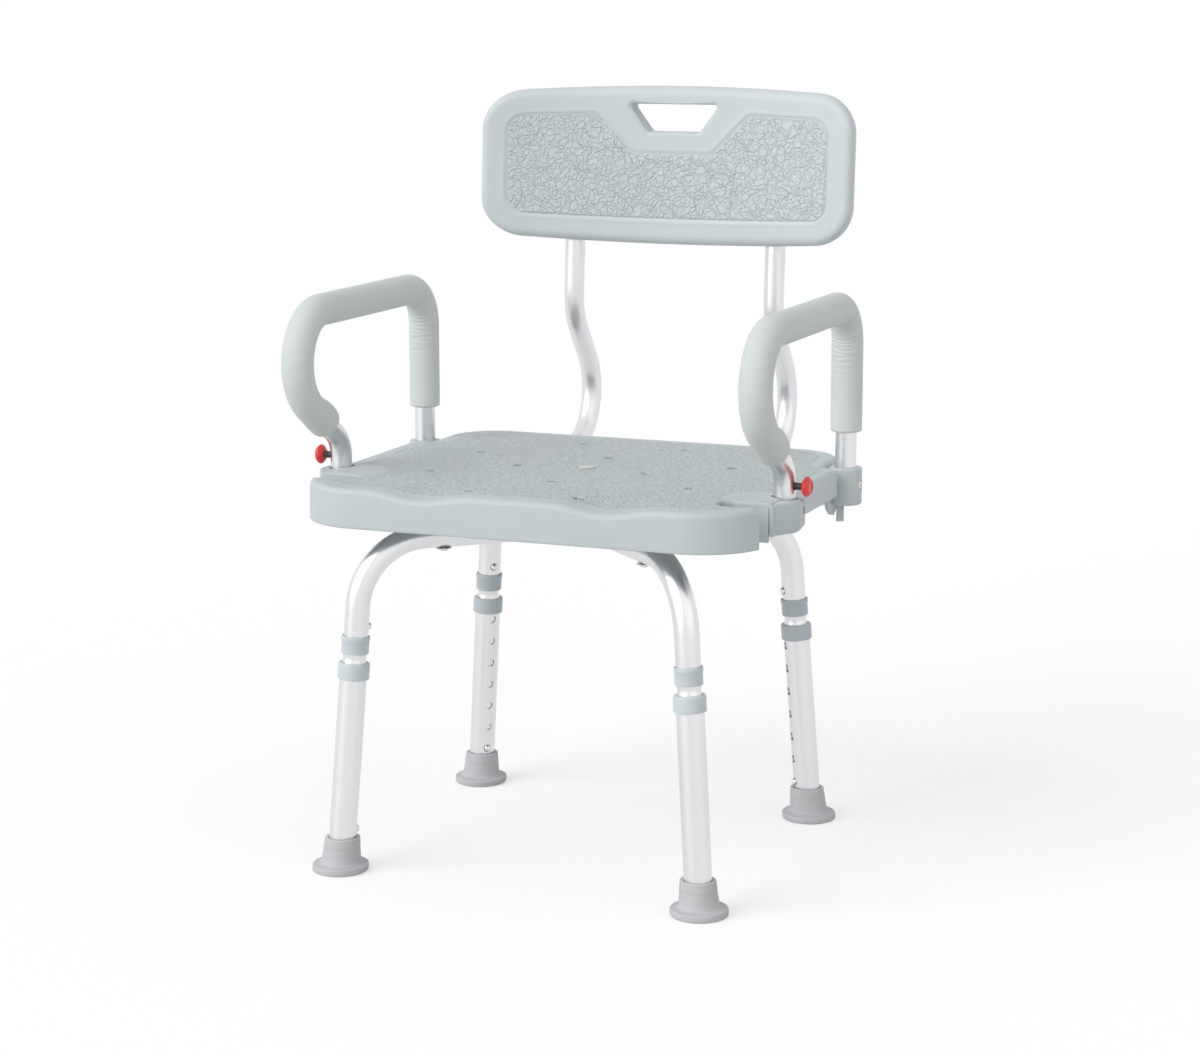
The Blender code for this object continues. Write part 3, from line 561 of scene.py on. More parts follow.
def quarterLevels(size, top, inset):     # inset and height over a rounded edge, from the wall up
    return [(inset + size * out, top - size + size * rise) for out, rise in quarter(6)]


def denserRing(ring, spacing=0.0032):    # the long straight runs of the outline are split up
    whole, made = seatEdge()(), []
    for i, spot in enumerate(ring):
        following = ring[(i + 1) % len(ring)]
        parts = max(1, round((whole[(i + 1) % len(ring)] - whole[i]).length / spacing))
        made += [spot.lerp(following, k / parts) for k in range(parts)]
    return made


def buildSeat():
    s = seatMake
    edge = seatEdge()
    levels = [(0.0, s["bottom"]), (0.0, 0.3640), (0.0, 0.368), (0.0, 0.3735), (0.0003, 0.384)] \
        + quarterLevels(s["edge"], s["top"], 0.0004) + [(0.0085, s["top"])]
    piece = stacked("seatShell", lambda inset: denserRing(edge(inset)), levels)
    makeActive(piece)
    bpy.ops.object.mode_set(mode="EDIT")
    mesh = bmesh.from_edit_mesh(piece.data)
    under = [f for f in mesh.faces if f.normal.z < -0.9 and f.calc_center_median().z < s["bottom"] + 0.0001]
    bmesh.ops.delete(mesh, geom=under, context="FACES_ONLY")
    cap = [max(mesh.faces, key=lambda f: f.calc_area())]
    cap += cap[0].edges[:] + cap[0].verts[:]
    for axis, half in ((Vector((1, 0, 0)), 0.2415), (Vector((0, 1, 0)), 0.2160)):
        count = int(half / s["cell"])
        for n in range(-count, count + 1):       # cut into even cells
            middle = axis * (n * s["cell"] + 0.00013)
            cap = bmesh.ops.bisect_plane(mesh, geom=cap, dist=0.00001, plane_co=middle, plane_no=axis)["geom"]
    bmesh.update_edit_mesh(piece.data)
    bpy.ops.object.mode_set(mode="OBJECT")
    co = pointsOf(piece)
    dipFrom = 0.366                  # below this height the wall stays straight
    share = np.clip((co[:, 2] - dipFrom) / (s["top"] - dipFrom), 0, 1)
    co[:, 2] -= thighDip(co[:, 0], co[:, 1]) * share ** 0.7
    placePoints(piece, co)
    applyModifier(piece, "SOLIDIFY", thickness=s["wall"], offset=-1)
    bpy.ops.object.mode_set(mode="EDIT")
    bpy.ops.mesh.select_all(action="DESELECT")
    bpy.ops.mesh.select_mode(type="EDGE")
    mesh = bmesh.from_edit_mesh(piece.data)
    for line in mesh.edges:          # both rims of the bottom edge
        low = all(v.co.z < s["bottom"] + 0.00002 for v in line.verts)
        line.select = low and abs(line.link_faces[0].normal.z - line.link_faces[1].normal.z) > 0.5
    bmesh.update_edit_mesh(piece.data)
    bpy.ops.mesh.bevel(offset=0.0013, segments=3, affect="EDGES")
    bpy.ops.mesh.select_mode(type="VERT")
    bpy.ops.object.mode_set(mode="OBJECT")
    print("seat skin:", len(piece.data.polygons), "faces")

    def slotOutline(radius):
        def outline(inset=0.0):
            r = radius - inset
            bend = [(s["slotX"] + r * cos(a), s["slotY"] + r * sin(a))
                    for a in (radians(90 + 180 * n / 20) for n in range(21))]
            return [Vector(p) for p in bend + [(0.275, s["slotY"] - r), (0.275, s["slotY"] + r)]]
        return outline

    def ringOutline(x, y, radius, count=40):
        def outline(inset=0.0):
            r, turns = radius - inset, [2 * pi * n / count for n in range(count)]
            return [Vector((x + r * cos(a), y + r * sin(a))) for a in turns]
        return outline

    under = s["top"] - 0.0022
    trims, lateTrims, bosses, lateBosses, cuts, lateCuts = [], [], [], [], [], []
    wide = s["slotR"] + 0.004
    guard = roundOutline([(0.2360, s["slotY"] - wide, 0.001), (0.2405, s["slotY"] + wide, 0.002),
                          (s["slotX"] - wide, s["slotY"] + wide, wide - 0.001),
                          (s["slotX"] - wide, s["slotY"] - wide, wide - 0.001)], 6)
    lateBosses.append(roundedPlate("slotWall", guard, 0.3612, 0.3965, 0.0006))
    bossLow, bossTop, reach = s["bossLow"], s["bossHigh"], s["socketR"]
    shape = roundOutline([(0.2200, -0.1068, 0.004), (0.2452, -0.1068, 0.006),
                          (s["socketX"] + reach, s["socketY"] - 0.012, 0.016),
                          (s["socketX"] + reach, s["socketY"] + reach, reach - 0.0005),
                          (0.2200, s["socketY"] + reach, 0.004)], 10)
    rims = [(0.0062, bossLow), (0.0046, bossLow + 0.0006), (0.0006, bossLow + 0.0054),
            (0.0, bossLow + 0.0070), (0.0, bossTop - 0.0022), (0.0003, bossTop - 0.0011),
            (0.0011, bossTop - 0.0003), (0.0022, bossTop)]
    bosses.append(stacked("socketBoss", shape, rims))
    pivotPad = boxOutline(0.2085, 0.2225, 0.1275, 0.1485, 0.002, 3)
    bosses.append(roundedPlate("pivotPad", pivotPad, 0.3692, under, 0.0005))
    guide = boxOutline(s["tubeX"] - 0.0155, s["tubeX"] + 0.0155, 0.150, 0.2145, 0.002, 3)
    bosses.append(roundedPlate("tubeGuide", guide, 0.364, under, 0.0008))
    for sy in (-1, 1):
        profile = [(0.0082, 0.3558), (0.0090, 0.3560), (0.0095, 0.3568), (0.0095, under - 0.002),
                   (0.0115, under)]
        post = lathe("screwPost", profile, 28)
        bosses.append(turnedInto(post, Matrix.Translation(screwPlace(1, sy))))
    for x, y in ((0.150, 0.045), (0.060, 0.110), (0.060, -0.130)):     # stiffening ribs under the skin
        shape = boxOutline(x - 0.001, x + 0.001, y - 0.030, y + 0.030, 0.0009, 2)
        bosses.append(roundedPlate("stiffener", shape, 0.386, under - 0.0035, 0.0004))

    back = s["slotY"] + s["slotR"]
    for group, low, high, reachY, backY in (
            (trims, 0.2207, s["bossLow"] + 0.0009, back - 0.002, s["socketY"] + 0.0215),
            (lateTrims, 0.2350, s["sideBottom"], s["socketY"] + 0.0195, s["shoulder"] + 0.002)):
        shape = boxOutline(low, 0.252, reachY, backY, 0.0008, 3)
        group.append(roundedPlate("sideTrim", shape, 0.345, high, 0.0004))

    cuts.append(flaredCutter("slotCut", slotOutline(s["slotR"]), 0.345, s["top"] + 0.0002, 0.0016))
    socket = ringOutline(s["socketX"], s["socketY"], s["boreR"])
    cuts.append(flaredCutter("socketCut", socket, 0.345, bossTop, 0.0008))
    plate = boxOutline(0.2277, 0.2333, 0.103, 0.14, 0.0006, 3)
    cuts.append(roundedPlate("plateCut", plate, 0.34, 0.42, 0.0005))
    lateCuts.append(barAcross("lockCut", 0.252, 0.27, s["socketY"], s["lockZ"], 0.0043))
    notch = boxOutline(0.2575, 0.27, s["socketY"] - 0.0022, s["socketY"] + 0.0022, 0.0008, 2)
    lateCuts.append(roundedPlate("rimNotch", notch, 0.3948, 0.41, 0.0004))
    tab = boxOutline(0.2303, 0.2392, 0.09, 0.14, 0.0006, 2)
    lateCuts.append(roundedPlate("tabCut", tab, 0.34, 0.3745, 0.0004))
    lateCuts.append(barAcross("pivotCut", 0.200, 0.232, s["pivotY"], s["pivotZ"], 0.0034))
    x, y, z = s["tubeX"], s["buttonY"], s["tubeZ"]
    cuts.append(barBetween("tubeCut", (x, 0.125, z), (x, 0.24, z), 0.0117, 40))
    lateCuts.append(barBetween("buttonCut", (x, y, 0.372), (x, y, 0.355), 0.0043))
    for x, y in ((0.142, 0.064), (0.142, -0.064), (0.071, 0), (0.058, 0.153), (0.058, -0.153)):
        cuts.append(flaredCutter("drainCut", ringOutline(x, y + s["drainY"], s["drainR"], 28), 0.38,
                                 s["top"] - float(thighDip(np.array(x), np.array(y))), 0.0010))
    for group in (trims, lateTrims, bosses, lateBosses, cuts, lateCuts):
        group += [copied(one, one.name + "Left", mirror) for one in list(group)]
    for sy in (-1, 1):
        cuts.append(flaredCutter("drainCut", ringOutline(0, sy * 0.077 + s["drainY"], s["drainR"], 28), 0.38,
                                 s["top"], 0.0010))
    cuts.append(barBetween("capCut", (0, s["capY"], 0.38), (0, s["capY"], 0.41), 0.0058))
    cutAway, joined = "DIFFERENCE", "UNION"
    for group, operation in ((trims, cutAway), (lateTrims, cutAway), (bosses, joined), (lateBosses, joined),
                             (cuts, cutAway), (lateCuts, cutAway)):
        carved(piece, united(group, "seatTool"), operation)
    applyModifier(piece, "WELD", merge_threshold=0.00001)
    print("seat shell:", len(piece.data.polygons), "faces")
    return piece


def paintGrain(piece, depthOf):      # the grain attribute: 1 well inside the field, 0 outside it
    attribute = piece.data.attributes.new("grain", "FLOAT", "POINT")
    attribute.data.foreach_set("value", depthOf(pointsOf(piece)).astype(np.float32))


def signedInside(points, polygon):   # distance to a closed outline, positive inside
    polygon = np.array([p[:] for p in polygon])
    best = np.full(len(points), 9.0)
    inside = np.zeros(len(points), bool)
    for a, b in zip(polygon, np.roll(polygon, -1, axis=0)):
        edge, rel = b - a, points - a
        t = np.clip(rel @ edge / max(edge @ edge, 1e-12), 0, 1)
        best = np.minimum(best, np.linalg.norm(rel - t[:, None] * edge, axis=1))
        crosses = (a[1] > points[:, 1]) != (b[1] > points[:, 1])
        with np.errstate(divide="ignore", invalid="ignore"):
            at = a[0] + (points[:, 1] - a[1]) * edge[0] / edge[1]
        inside ^= crosses & (points[:, 0] < at)
    return np.where(inside, best, -best)


def seatGrain(co):
    s = seatMake
    inner = roundOutline([(-0.232, -0.172, 0.060), (0.232, -0.172, 0.060), (0.232, 0.100, 0.02),
                          (0.208, 0.112, 0.02), (0.208, 0.200, 0.045), (-0.208, 0.200, 0.045),
                          (-0.208, 0.112, 0.02), (-0.232, 0.100, 0.02)], 8)
    deep = signedInside(co[:, :2], inner())
    flat = co[:, 2] > s["top"] - 0.0100
    keepOff = np.hypot(np.abs(co[:, 0]) - 0.222, co[:, 1] + 0.088) - 0.036
    return np.clip(np.minimum(deep, keepOff) / 0.004, 0, 1) * flat


seatShell = buildSeat()
paintGrain(seatShell, seatGrain)
settle(seatShell, "seat", shellPlastic, 32)

capMake = {"radius": 0.0084, "rim": 0.4008, "stem": 0.0051}


def buildCap():
    radius, rim, stem = capMake["radius"], capMake["rim"], capMake["stem"]
    profile = [(0.0046, 0.3942), (stem, 0.3950), (stem, rim), (radius, rim)] \
        + rounding(radius - 0.001, rim + 0.0002, 0.001, 0, 80) \
        + [(0.0066, rim + 0.0013), (0.0061, rim + 0.0010), (0.0052, rim + 0.0014), (0.0026, rim + 0.0018),
           (0.0008, rim + 0.0019)]
    return turnedInto(lathe("drainCap", profile, 48), Matrix.Translation((0, seatMake["capY"], 0)))


settle(buildCap(), "drain_cap", capCream)
print("seat made")


# ------ backrest
panelMake = {
    "half": 0.2155, "low": 0.6105, "high": 0.7835, "corner": 0.044, "bowTop": 0.0045, "bowLow": 0.0055,
    "front": 0.262, "curve": 0.60, "thick": 0.024, "edge": 0.0105, "lean": radians(3.65), "leanFrom": 0.612,
    "columns": 240, "rows": 100, "recess": 0.0013, "tubeX": 0.118, "tubeY": 0.2744, "tubeFrom": 0.59,
    "tubeR": 0.0115, "tubeTop": 0.747, "swellR": 0.0152,
}


def panelField():                    # the recessed field, its top edge dropping below the hand hole
    top = 0.7553
    right = [(0.1875, 0.6375, 0.020), (0.1875, top, 0.020), (0.088, top, 0.012), (0.0450, 0.7115, 0.010)]
    left = [(-0.0450, 0.7115, 0.010), (-0.088, top, 0.012), (-0.1875, top, 0.020), (-0.1875, 0.6375, 0.020)]
    return roundOutline(right + left, 8)


def panelBow(x, z):                  # how much its top and bottom edges close in at the sides
    p = panelMake
    up = np.clip((z - p["low"]) / (p["high"] - p["low"]), 0, 1)
    return (p["bowLow"] * (1 - up) - p["bowTop"] * up) * (x / 0.165) ** 2


def panelFace(x, z):                 # how far back its front face stands, leaning and curved
    p = panelMake
    return p["front"] - x ** 2 / (2 * p["curve"]) + tan(p["lean"]) * (z - p["leanFrom"])


def panelBend(co, front):            # a flat panel given its curve, its bows and its lean
    x, z = co[:, 0], co[:, 1] + panelBow(co[:, 0], co[:, 1])
    depth = co[:, 2] if front else panelMake["thick"] - co[:, 2]
    return np.stack([x, panelFace(x, z) + depth, z], -1)


def buildPanel():
    p = panelMake
    corner, steps = p["corner"], 16
    edge = boxOutline(-p["half"], p["half"], p["low"], p["high"], corner, steps)
    middle = [steps // 2 + (steps + 1) * n for n in range(4)]    # the middle of each corner
    half = p["thick"] / 2
    halves = []
    for front in (True, False):
        size = p["edge"] if front else 0.008
        levels = [(0.0, half)] + [(size * out, size * (1 - rise)) for out, rise in quarter(7)] \
            + [(size + 0.004, 0.0)]
        piece, co = wrappedGrid("panelFront" if front else "panelRear", edge, middle, levels,
                                p["columns"], p["rows"])
        if front:
            deep = signedInside(co[:, :2], panelField()())
            ramp = np.clip((deep + 0.0008) / 0.0026, 0, 1)
            co[:, 2] += p["recess"] * ramp * ramp * (3 - 2 * ramp) * (co[:, 2] < 0.004)
            co[:, 2] -= 0.0003 * np.exp(-((deep + 0.0028) / 0.0016) ** 2) * (co[:, 2] < 0.004)
        else:
            across = np.clip(np.abs(np.abs(co[:, 0]) - p["tubeX"]) / 0.021, 0, 1)
            upTo = np.clip((0.762 - co[:, 1]) / 0.014, 0, 1)
            swell = (0.5 + 0.5 * np.cos(pi * across)) * upTo * upTo * (3 - 2 * upTo)
            co[:, 2] -= 0.0052 * swell * np.clip(1 - co[:, 2] / 0.010, 0, 1)
        placePoints(piece, panelBend(co, front))
        halves.append(piece)
    piece = united(halves, "backPanel")
    bpy.ops.object.mode_set(mode="EDIT")
    finishMesh(piece, 0.00002)
    hole = roundOutline([(-0.0300, 0.7340, 0.0035), (0.0300, 0.7340, 0.0035), (0.0495, 0.7600, 0.0025),
                         (0.0495, 0.7640, 0.0025), (-0.0495, 0.7640, 0.0025), (-0.0495, 0.7600, 0.0025)], 5)
    flare, rear = 0.0042, 0.003      # how far the rim widens at the front and the back
    depths = [(-flare - 0.0005, -0.004), (-flare, 0.0002)] \
        + [(-flare * (1 - rise), flare * out + 0.0003) for out, rise in quarter(5)[1:]] \
        + [(0, 0.012), (0, 0.020)] + [(-rear * out, 0.0207 + rear * rise) for out, rise in quarter(4)[1:]] \
        + [(-0.0034, 0.030)]
    rings = [[(q.x, panelFace(q.x, q.y) + depth, q.y) for q in hole(inset)] for inset, depth in depths]
    carved(piece, loft("handHole", rings))
    ends = [(p["tubeY"] + panelFace(0, z) - p["front"], z) for z in (p["tubeFrom"], p["tubeTop"])]
    for sx, _ in sides:
        foot, top = [(sx * p["tubeX"], y, z) for y, z in ends]
        carved(piece, barBetween("panelBore", foot, top, p["tubeR"], 40))
    applyModifier(piece, "WELD", merge_threshold=0.00001)
    return piece


def panelGrain(co):
    x, z = co[:, 0], co[:, 2]
    deep = signedInside(np.stack([x, z - panelBow(x, z)], -1), panelField()())
    return np.clip((deep - 0.0016) / 0.0015, 0, 1) * (co[:, 1] < panelFace(x, z) + 0.006)


backPanel = buildPanel()
paintGrain(backPanel, panelGrain)
settle(backPanel, "back_panel", panelPlasticPaintedLight, 32)
print("back panel:", len(backPanel.data.polygons), "faces")

backMake = {"start": (0, 0.132, 0.379), "radius": 0.0111, "wall": 0.0012}
swing = (1, 0, 0)
backRoute = [(0.131,), (0.060, 128, swing), (0.0442,), (0.060, -41.65, swing), (0.1939,)]
for sx, side in sides:
    tube = bentTube("backTube_" + side, backMake["start"], (0, 1, 0), backRoute, backMake["radius"], 40, 5)
    applyModifier(tube, "SOLIDIFY", thickness=backMake["wall"], offset=-1)
    carved(tube, barBetween("hole", (0, seatMake["buttonY"], 0.372), (0, seatMake["buttonY"], 0.36), 0.0043))
    settle(turnedInto(tube, Matrix.Translation((sx * panelMake["tubeX"], 0, 0))), "back_tube_" + side,
           aluminium)
print("back tubes made")


# ------ arms
armMake = {
    "x": 0.2427, "postY": 0.138, "low": 0.3605, "radius": 0.0111, "wall": 0.0012,
    "frontY": -0.067, "lockZ": 0.388, "releaseY": -0.068, "releaseZ": 0.4115, "pivotZ": 0.379,
    "padLow": 0.435, "padR": 0.0165, "padWall": 0.0049,
}
armRoute = [(0.1645,), (0.043, 90, swing), (0.203,), (0.052, 147, swing), (0.0656,), (0.031, -57, swing),
            (0.0392,)]
padRoute = [(0.0900,), (0.043, 90), (0.203,), (0.052, 147), (0.0400,)]


def padLine(step=0.0011):            # the pad's middle line: places, headings and how far each is along it
    here, angle, run, made = Vector((armMake["postY"], armMake["padLow"])), pi / 2, 0.0, []
    for move in padRoute:
        if len(move) == 1:
            way = Vector((cos(angle), sin(angle))) * move[0]
            count = round(move[0] / step)
            for k in range(count):
                made.append((here + way * k / count, angle, run + move[0] * k / count))
            here = here + way
            run += move[0]
            continue
        bend, turn = move[0], radians(move[1])
        centre = here + Vector((-sin(angle), cos(angle))) * bend
        count = round(bend * turn / step)
        for k in range(count):
            a = angle + turn * k / count
            made.append((centre + Vector((sin(a), -cos(a))) * bend, a, run + bend * turn * k / count))
        angle += turn
        here = centre + Vector((sin(angle), -cos(angle))) * bend
        run += bend * turn
    made.append((here, angle, run))
    return made, run


def padSwell(run, total, inner, across, seed):   # how far the foam stands off its plain round shape
    grow = 0.0
    window = max(0.0, inner) ** 0.6
    for n in range(13):              # folds pressed up on the inside of the rear bend
        at = 0.0615 + n * 0.0042 + 0.0009 * sin(n * 2.3 + seed)
        bow = 0.0036 * (1 - inner) + 0.0012 * sin(n * 1.7 + across * 2.1 + seed)
        fold = np.exp(-((run - at - bow) / 0.00085) ** 2)
        grow -= fold * window * (0.00075 if 2 < n < 11 else 0.0004)
    grow += 0.0006 * np.exp(-((run - 0.086) / 0.022) ** 2) * window
    for middle, reach in ((0.124, 0.030), (0.427, 0.060)):   # the inside of each bend is squeezed
        grow -= 0.0007 * np.exp(-((run - middle) / reach) ** 2) * max(0.0, inner)
    back = total - run
    grow += (0.0016 * max(0.0, inner) + 0.0006) * np.exp(-((back - 0.013) / 0.012) ** 2)
    grow -= 0.0013 * max(0.0, inner) * np.exp(-((back - 0.038) / 0.007) ** 2)
    grow -= 0.0004 * np.exp(-((run - 0.0050) / 0.0010) ** 2)
    for end in (run, back):          # soft round ends
        if end < 0.0028:
            grow -= 0.0028 - np.sqrt(max(0.0, 0.0028 ** 2 - (0.0028 - end) ** 2))
    return grow


def buildPad(name, seed):
    line, total = padLine()
    around = 56
    deselectAll()
    bpy.ops.mesh.primitive_grid_add(x_subdivisions=len(line) - 1, y_subdivisions=around, size=2)
    piece = begin(name)
    mesh = bmesh.from_edit_mesh(piece.data)
    for vertex in mesh.verts:        # the sheet is rolled up along the pad's middle line
        spot, angle, run = line[round((vertex.co.x + 1) / 2 * (len(line) - 1))]
        a = pi * (vertex.co.y + 1)
        inner, out = cos(a), sin(a)                  # inner points into the loop
        size = armMake["padR"] + padSwell(run, total, inner, out, seed)
        place = spot + Vector((-sin(angle), cos(angle))) * inner * size
        vertex.co = (armMake["x"] + out * size, place.x, place.y)
    bmesh.update_edit_mesh(piece.data)
    finishMesh(piece, 0.00002)
    return applyModifier(piece, "SOLIDIFY", thickness=armMake["padWall"], offset=-1)


def buildArmTube(name):
    a = armMake
    piece = bentTube(name, (a["x"], a["postY"], a["low"]), (0, 0, 1), armRoute, a["radius"], 40, 5)
    applyModifier(piece, "SOLIDIFY", thickness=a["wall"], offset=-1)
    holes = [barAcross("hole", 0.22, 0.265, a["postY"], a["pivotZ"], 0.0034),
             barAcross("hole", a["x"], 0.27, a["frontY"], a["lockZ"], 0.0042),
             barAcross("hole", a["x"], 0.27, a["releaseY"], a["releaseZ"], 0.0042)]
    return carved(piece, united(holes, "holes"))


def buildBracket(name):
    a = armMake
    low, high, outer = 0.358, 0.397, 0.0175
    profile = [(0.0142, low), (outer - 0.0016, low + 0.0004), (outer - 0.0004, low + 0.0016),
               (outer, low + 0.003), (outer, high - 0.0012)]
    profile += rounding(outer - 0.0012, high - 0.0012, 0.0012, 20, 90, 3)
    sleeve = turnedInto(lathe(name, profile, 56), Matrix.Translation((a["x"], a["postY"], 0)))
    reach = 0.034
    sector = [(-reach + 0.024, 0.012, 0.002), (-reach, 0.002, 0.002)] \
        + [(reach * cos(radians(t)), reach * sin(radians(t)), 0.006) for t in (202.5, 225, 247.5)] \
        + [(0.0, -reach, 0.003), (0.010, -0.020, 0.001), (0.010, 0.012, 0.001)]
    plate = roundedPlate("stopPlate", roundOutline(sector, 5), 0.2285, 0.2325, 0.0007)
    turnedInto(plate, Matrix(((0, 0, 1, 0), (1, 0, 0, a["postY"]), (0, 1, 0, a["pivotZ"]), (0, 0, 0, 1))))
    tab = roundedPlate("stopTab", boxOutline(0.2310, 0.2385, 0.1445, 0.150, 0.0015, 3), 0.337, 0.364, 0.0006)
    carved(sleeve, plate, "UNION")
    carved(sleeve, tab, "UNION")
    carved(sleeve, barBetween("bore", (a["x"], a["postY"], 0.33), (a["x"], a["postY"], 0.41), 0.0115, 40))
    carved(sleeve, barAcross("bolt", 0.215, 0.265, a["postY"], a["pivotZ"], 0.0034))
    return carved(sleeve, barAcross("head", 0.2569, 0.265, a["postY"], a["pivotZ"], 0.0053))


def alongX(piece, y, z):             # a turned piece laid along X, outwards
    return turnedInto(piece, Matrix.Translation((0, y, z)) @ Matrix.Rotation(pi / 2, 4, "Y"))


def buildPivotBolt(name):
    piece = lathe(name, [(0.003, 0.2022), (0.003, 0.2572), (0.0045, 0.2572), (0.0048, 0.2578),
                         (0.0046, 0.2588), (0.0036, 0.2596), (0.0012, 0.2599)], 32)
    crossRecess(piece, 0.0026, 0.2584, 0.262)
    return alongX(piece, armMake["postY"], armMake["pivotZ"])


def buildPivotNut(name):
    piece = lathe(name, [(0.0033, 0.2040), (0.0050, 0.2040), (0.0054, 0.2044), (0.0054, 0.2083),
                         (0.0050, 0.2087), (0.0033, 0.2087)], 6, True)
    return alongX(piece, armMake["postY"], armMake["pivotZ"])


def buildKnob(name):                 # a dished button on a ribbed neck
    face = 0.2697
    profile = [(0.0030, 0.2465), (0.0036, 0.2468), (0.0036, 0.2520), (0.0033, 0.2524), (0.0036, 0.2528),
               (0.0036, 0.2560), (0.0033, 0.2564), (0.0036, 0.2568), (0.0036, face - 0.0084),
               (0.0066, face - 0.0082)] \
        + rounding(0.0078, face - 0.0040, 0.0024, -60, 60, 6) \
        + [(0.0078, face - 0.0004), (0.0071, face), (0.0064, face - 0.0003), (0.0058, face - 0.0009),
           (0.0040, face - 0.0012), (0.0012, face - 0.0013)]
    piece = lathe(name, profile, 48)
    for polygon in piece.data.polygons:      # the neck is the second material
        reach = max(piece.data.vertices[v].co.xy.length for v in polygon.vertices)
        polygon.material_index = int(reach < 0.0037 and polygon.center.z < face - 0.008)
    return alongX(piece, armMake["releaseY"], armMake["releaseZ"])


def leafStrip(name, points, leaf, width):    # a folded spring leaf, from its middle line
    outer, inner = [], []
    for i, (x, z) in enumerate(points):
        before, after = points[max(0, i - 1)], points[min(len(points) - 1, i + 1)]
        way = Vector((after[0] - before[0], after[1] - before[1])).normalized()
        outer.append((x - way.y * leaf / 2, z + way.x * leaf / 2))
        inner.append((x + way.y * leaf / 2, z - way.x * leaf / 2))
    shape = outer + inner[::-1]
    levels = [-width / 2, -width / 2 + 0.0005, width / 2 - 0.0005, width / 2]
    return loft(name, [[(x, y, z) for x, z in shape] for y in levels])


def foldedLine(front, back, foldZ, frontTop, backTop, steps=8):
    fold = rounding((front + back) / 2, foldZ, (front - back) / 2, 0, -180, steps)
    return [(front, frontTop)] + fold + [(back, backTop)]


def domedPin(name, reach, back, radius):     # a spring button's head, along Z
    base = reach - radius * 0.75
    return lathe(name, [(radius * 0.6, back), (radius, back + 0.0003), (radius, base)]
                 + dome(radius, base, radius * 0.75, (15, 30, 45, 60, 74, 86)), 28)


def buildReleaseSpring(name):
    front, back, leaf = 0.2456, 0.2406, 0.0007
    strip = leafStrip(name, foldedLine(front, back, armMake["lockZ"] - 0.006, armMake["releaseZ"] + 0.004,
                                       armMake["lockZ"] + 0.024), leaf, 0.006)
    pin = alongX(domedPin("lockPin", 0.2612, front, 0.0038), 0, armMake["lockZ"])
    carved(strip, pin, "UNION")
    return turnedInto(strip, Matrix.Translation((0, armMake["frontY"], 0)))


armPieces = [
    ("armTube", "arm_tube", buildArmTube, aluminium, "anodised", ()),
    ("armBracket", "arm_bracket", buildBracket, bracketPlastic, "seat_plastic", ()),
    ("pivotBolt", "pivot_bolt", buildPivotBolt, steel, "steel", ()),
    ("pivotNut", "pivot_nut", buildPivotNut, steel, "steel", ()),
    ("releaseKnob", "release_knob", buildKnob, knobRed, "red_plastic", (neckBlack,)),
    ("releaseSpring", "release_spring", buildReleaseSpring, steel, "steel", ()),
]
for name, node, build, finish, slotName, extra in armPieces:
    right = build(name + "_r")
    left = copied(right, name + "_l", mirror)
    settle(right, node + "_r", finish, extra=extra)
    settle(left, node + "_l", finish, extra=extra)
for sx, side in sides:
    pad = buildPad("armPad_" + side, 0.4 if sx > 0 else 1.9)
    if sx < 0:
        turnedInto(pad, mirror)
    settle(pad, "arm_pad_" + side, foam, 60)
print("arms made")


# ------ crossed frame
frameMake = {"radius": 0.0125, "wall": 0.0012, "bend": 0.072, "jointZ": 0.2375, "topHole": 0.2563}


def buildFrameTube(name, sx, sy, under):
    f = frameMake
    start = legPlace(sx, sy) @ Vector((0, 0, f["jointZ"]))
    end = legPlace(-sx, -sy) @ Vector((0, 0, f["jointZ"]))
    topA, topB = cornerTop(sx, sy), cornerTop(-sx, -sy)
    rise, level, fall = (topA - start).normalized(), (topB - topA).normalized(), (end - topB).normalized()
    reachA = f["bend"] * tan(rise.angle(level) / 2)
    reachB = f["bend"] * tan(level.angle(fall) / 2)
    moves = [((topA - start).length - reachA,),
             (f["bend"], degrees(rise.angle(level)), rise.cross(level)),
             ((topB - topA).length - reachA - reachB,),
             (f["bend"], degrees(level.angle(fall)), level.cross(fall)),
             ((end - topB).length - reachB,)]
    piece = bentTube(name, start, rise, moves, f["radius"], 40, 5)
    applyModifier(piece, "SUBSURF", levels=1, render_levels=1, subdivision_type="SIMPLE")
    side = 1 if under else -1
    co = pointsOf(piece)
    away = np.abs(co @ np.array(level))
    blend = np.clip((0.046 - away) / 0.024, 0, 1)
    blend = blend * blend * (3 - 2 * blend)
    depth = f["radius"] + (co[:, 2] - chair["frameTop"]) * side
    press = (depth > 0) & (co[:, 2] > 0.3)
    depth = np.where(press, depth * (1 - blend * 0.512), depth)
    co[:, 2] = np.where(press, chair["frameTop"] + (depth - f["radius"]) * side, co[:, 2])
    placePoints(piece, co)
    applyModifier(piece, "SOLIDIFY", thickness=f["wall"], offset=-1)
    holes = []
    for x, y in ((sx, sy), (-sx, -sy)):
        way = screwPlace(x, y)
        holes.append(barBetween("hole", (way.x, way.y, 0.32), (way.x, way.y, 0.37), 0.0029))
        holes.append(turnedInto(barAcross("hole", 0.005, 0.02, 0, f["topHole"], 0.0043), legPlace(x, y)))
    holes.append(barBetween("hole", (0, 0, 0.32), (0, 0, 0.37), 0.0036))
    return carved(piece, united(holes, "holes"))


settle(buildFrameTube("frameLower", -1, -1, True), "frame_tube_lower", aluminium)
settle(buildFrameTube("frameUpper", 1, -1, False), "frame_tube_upper", aluminium)

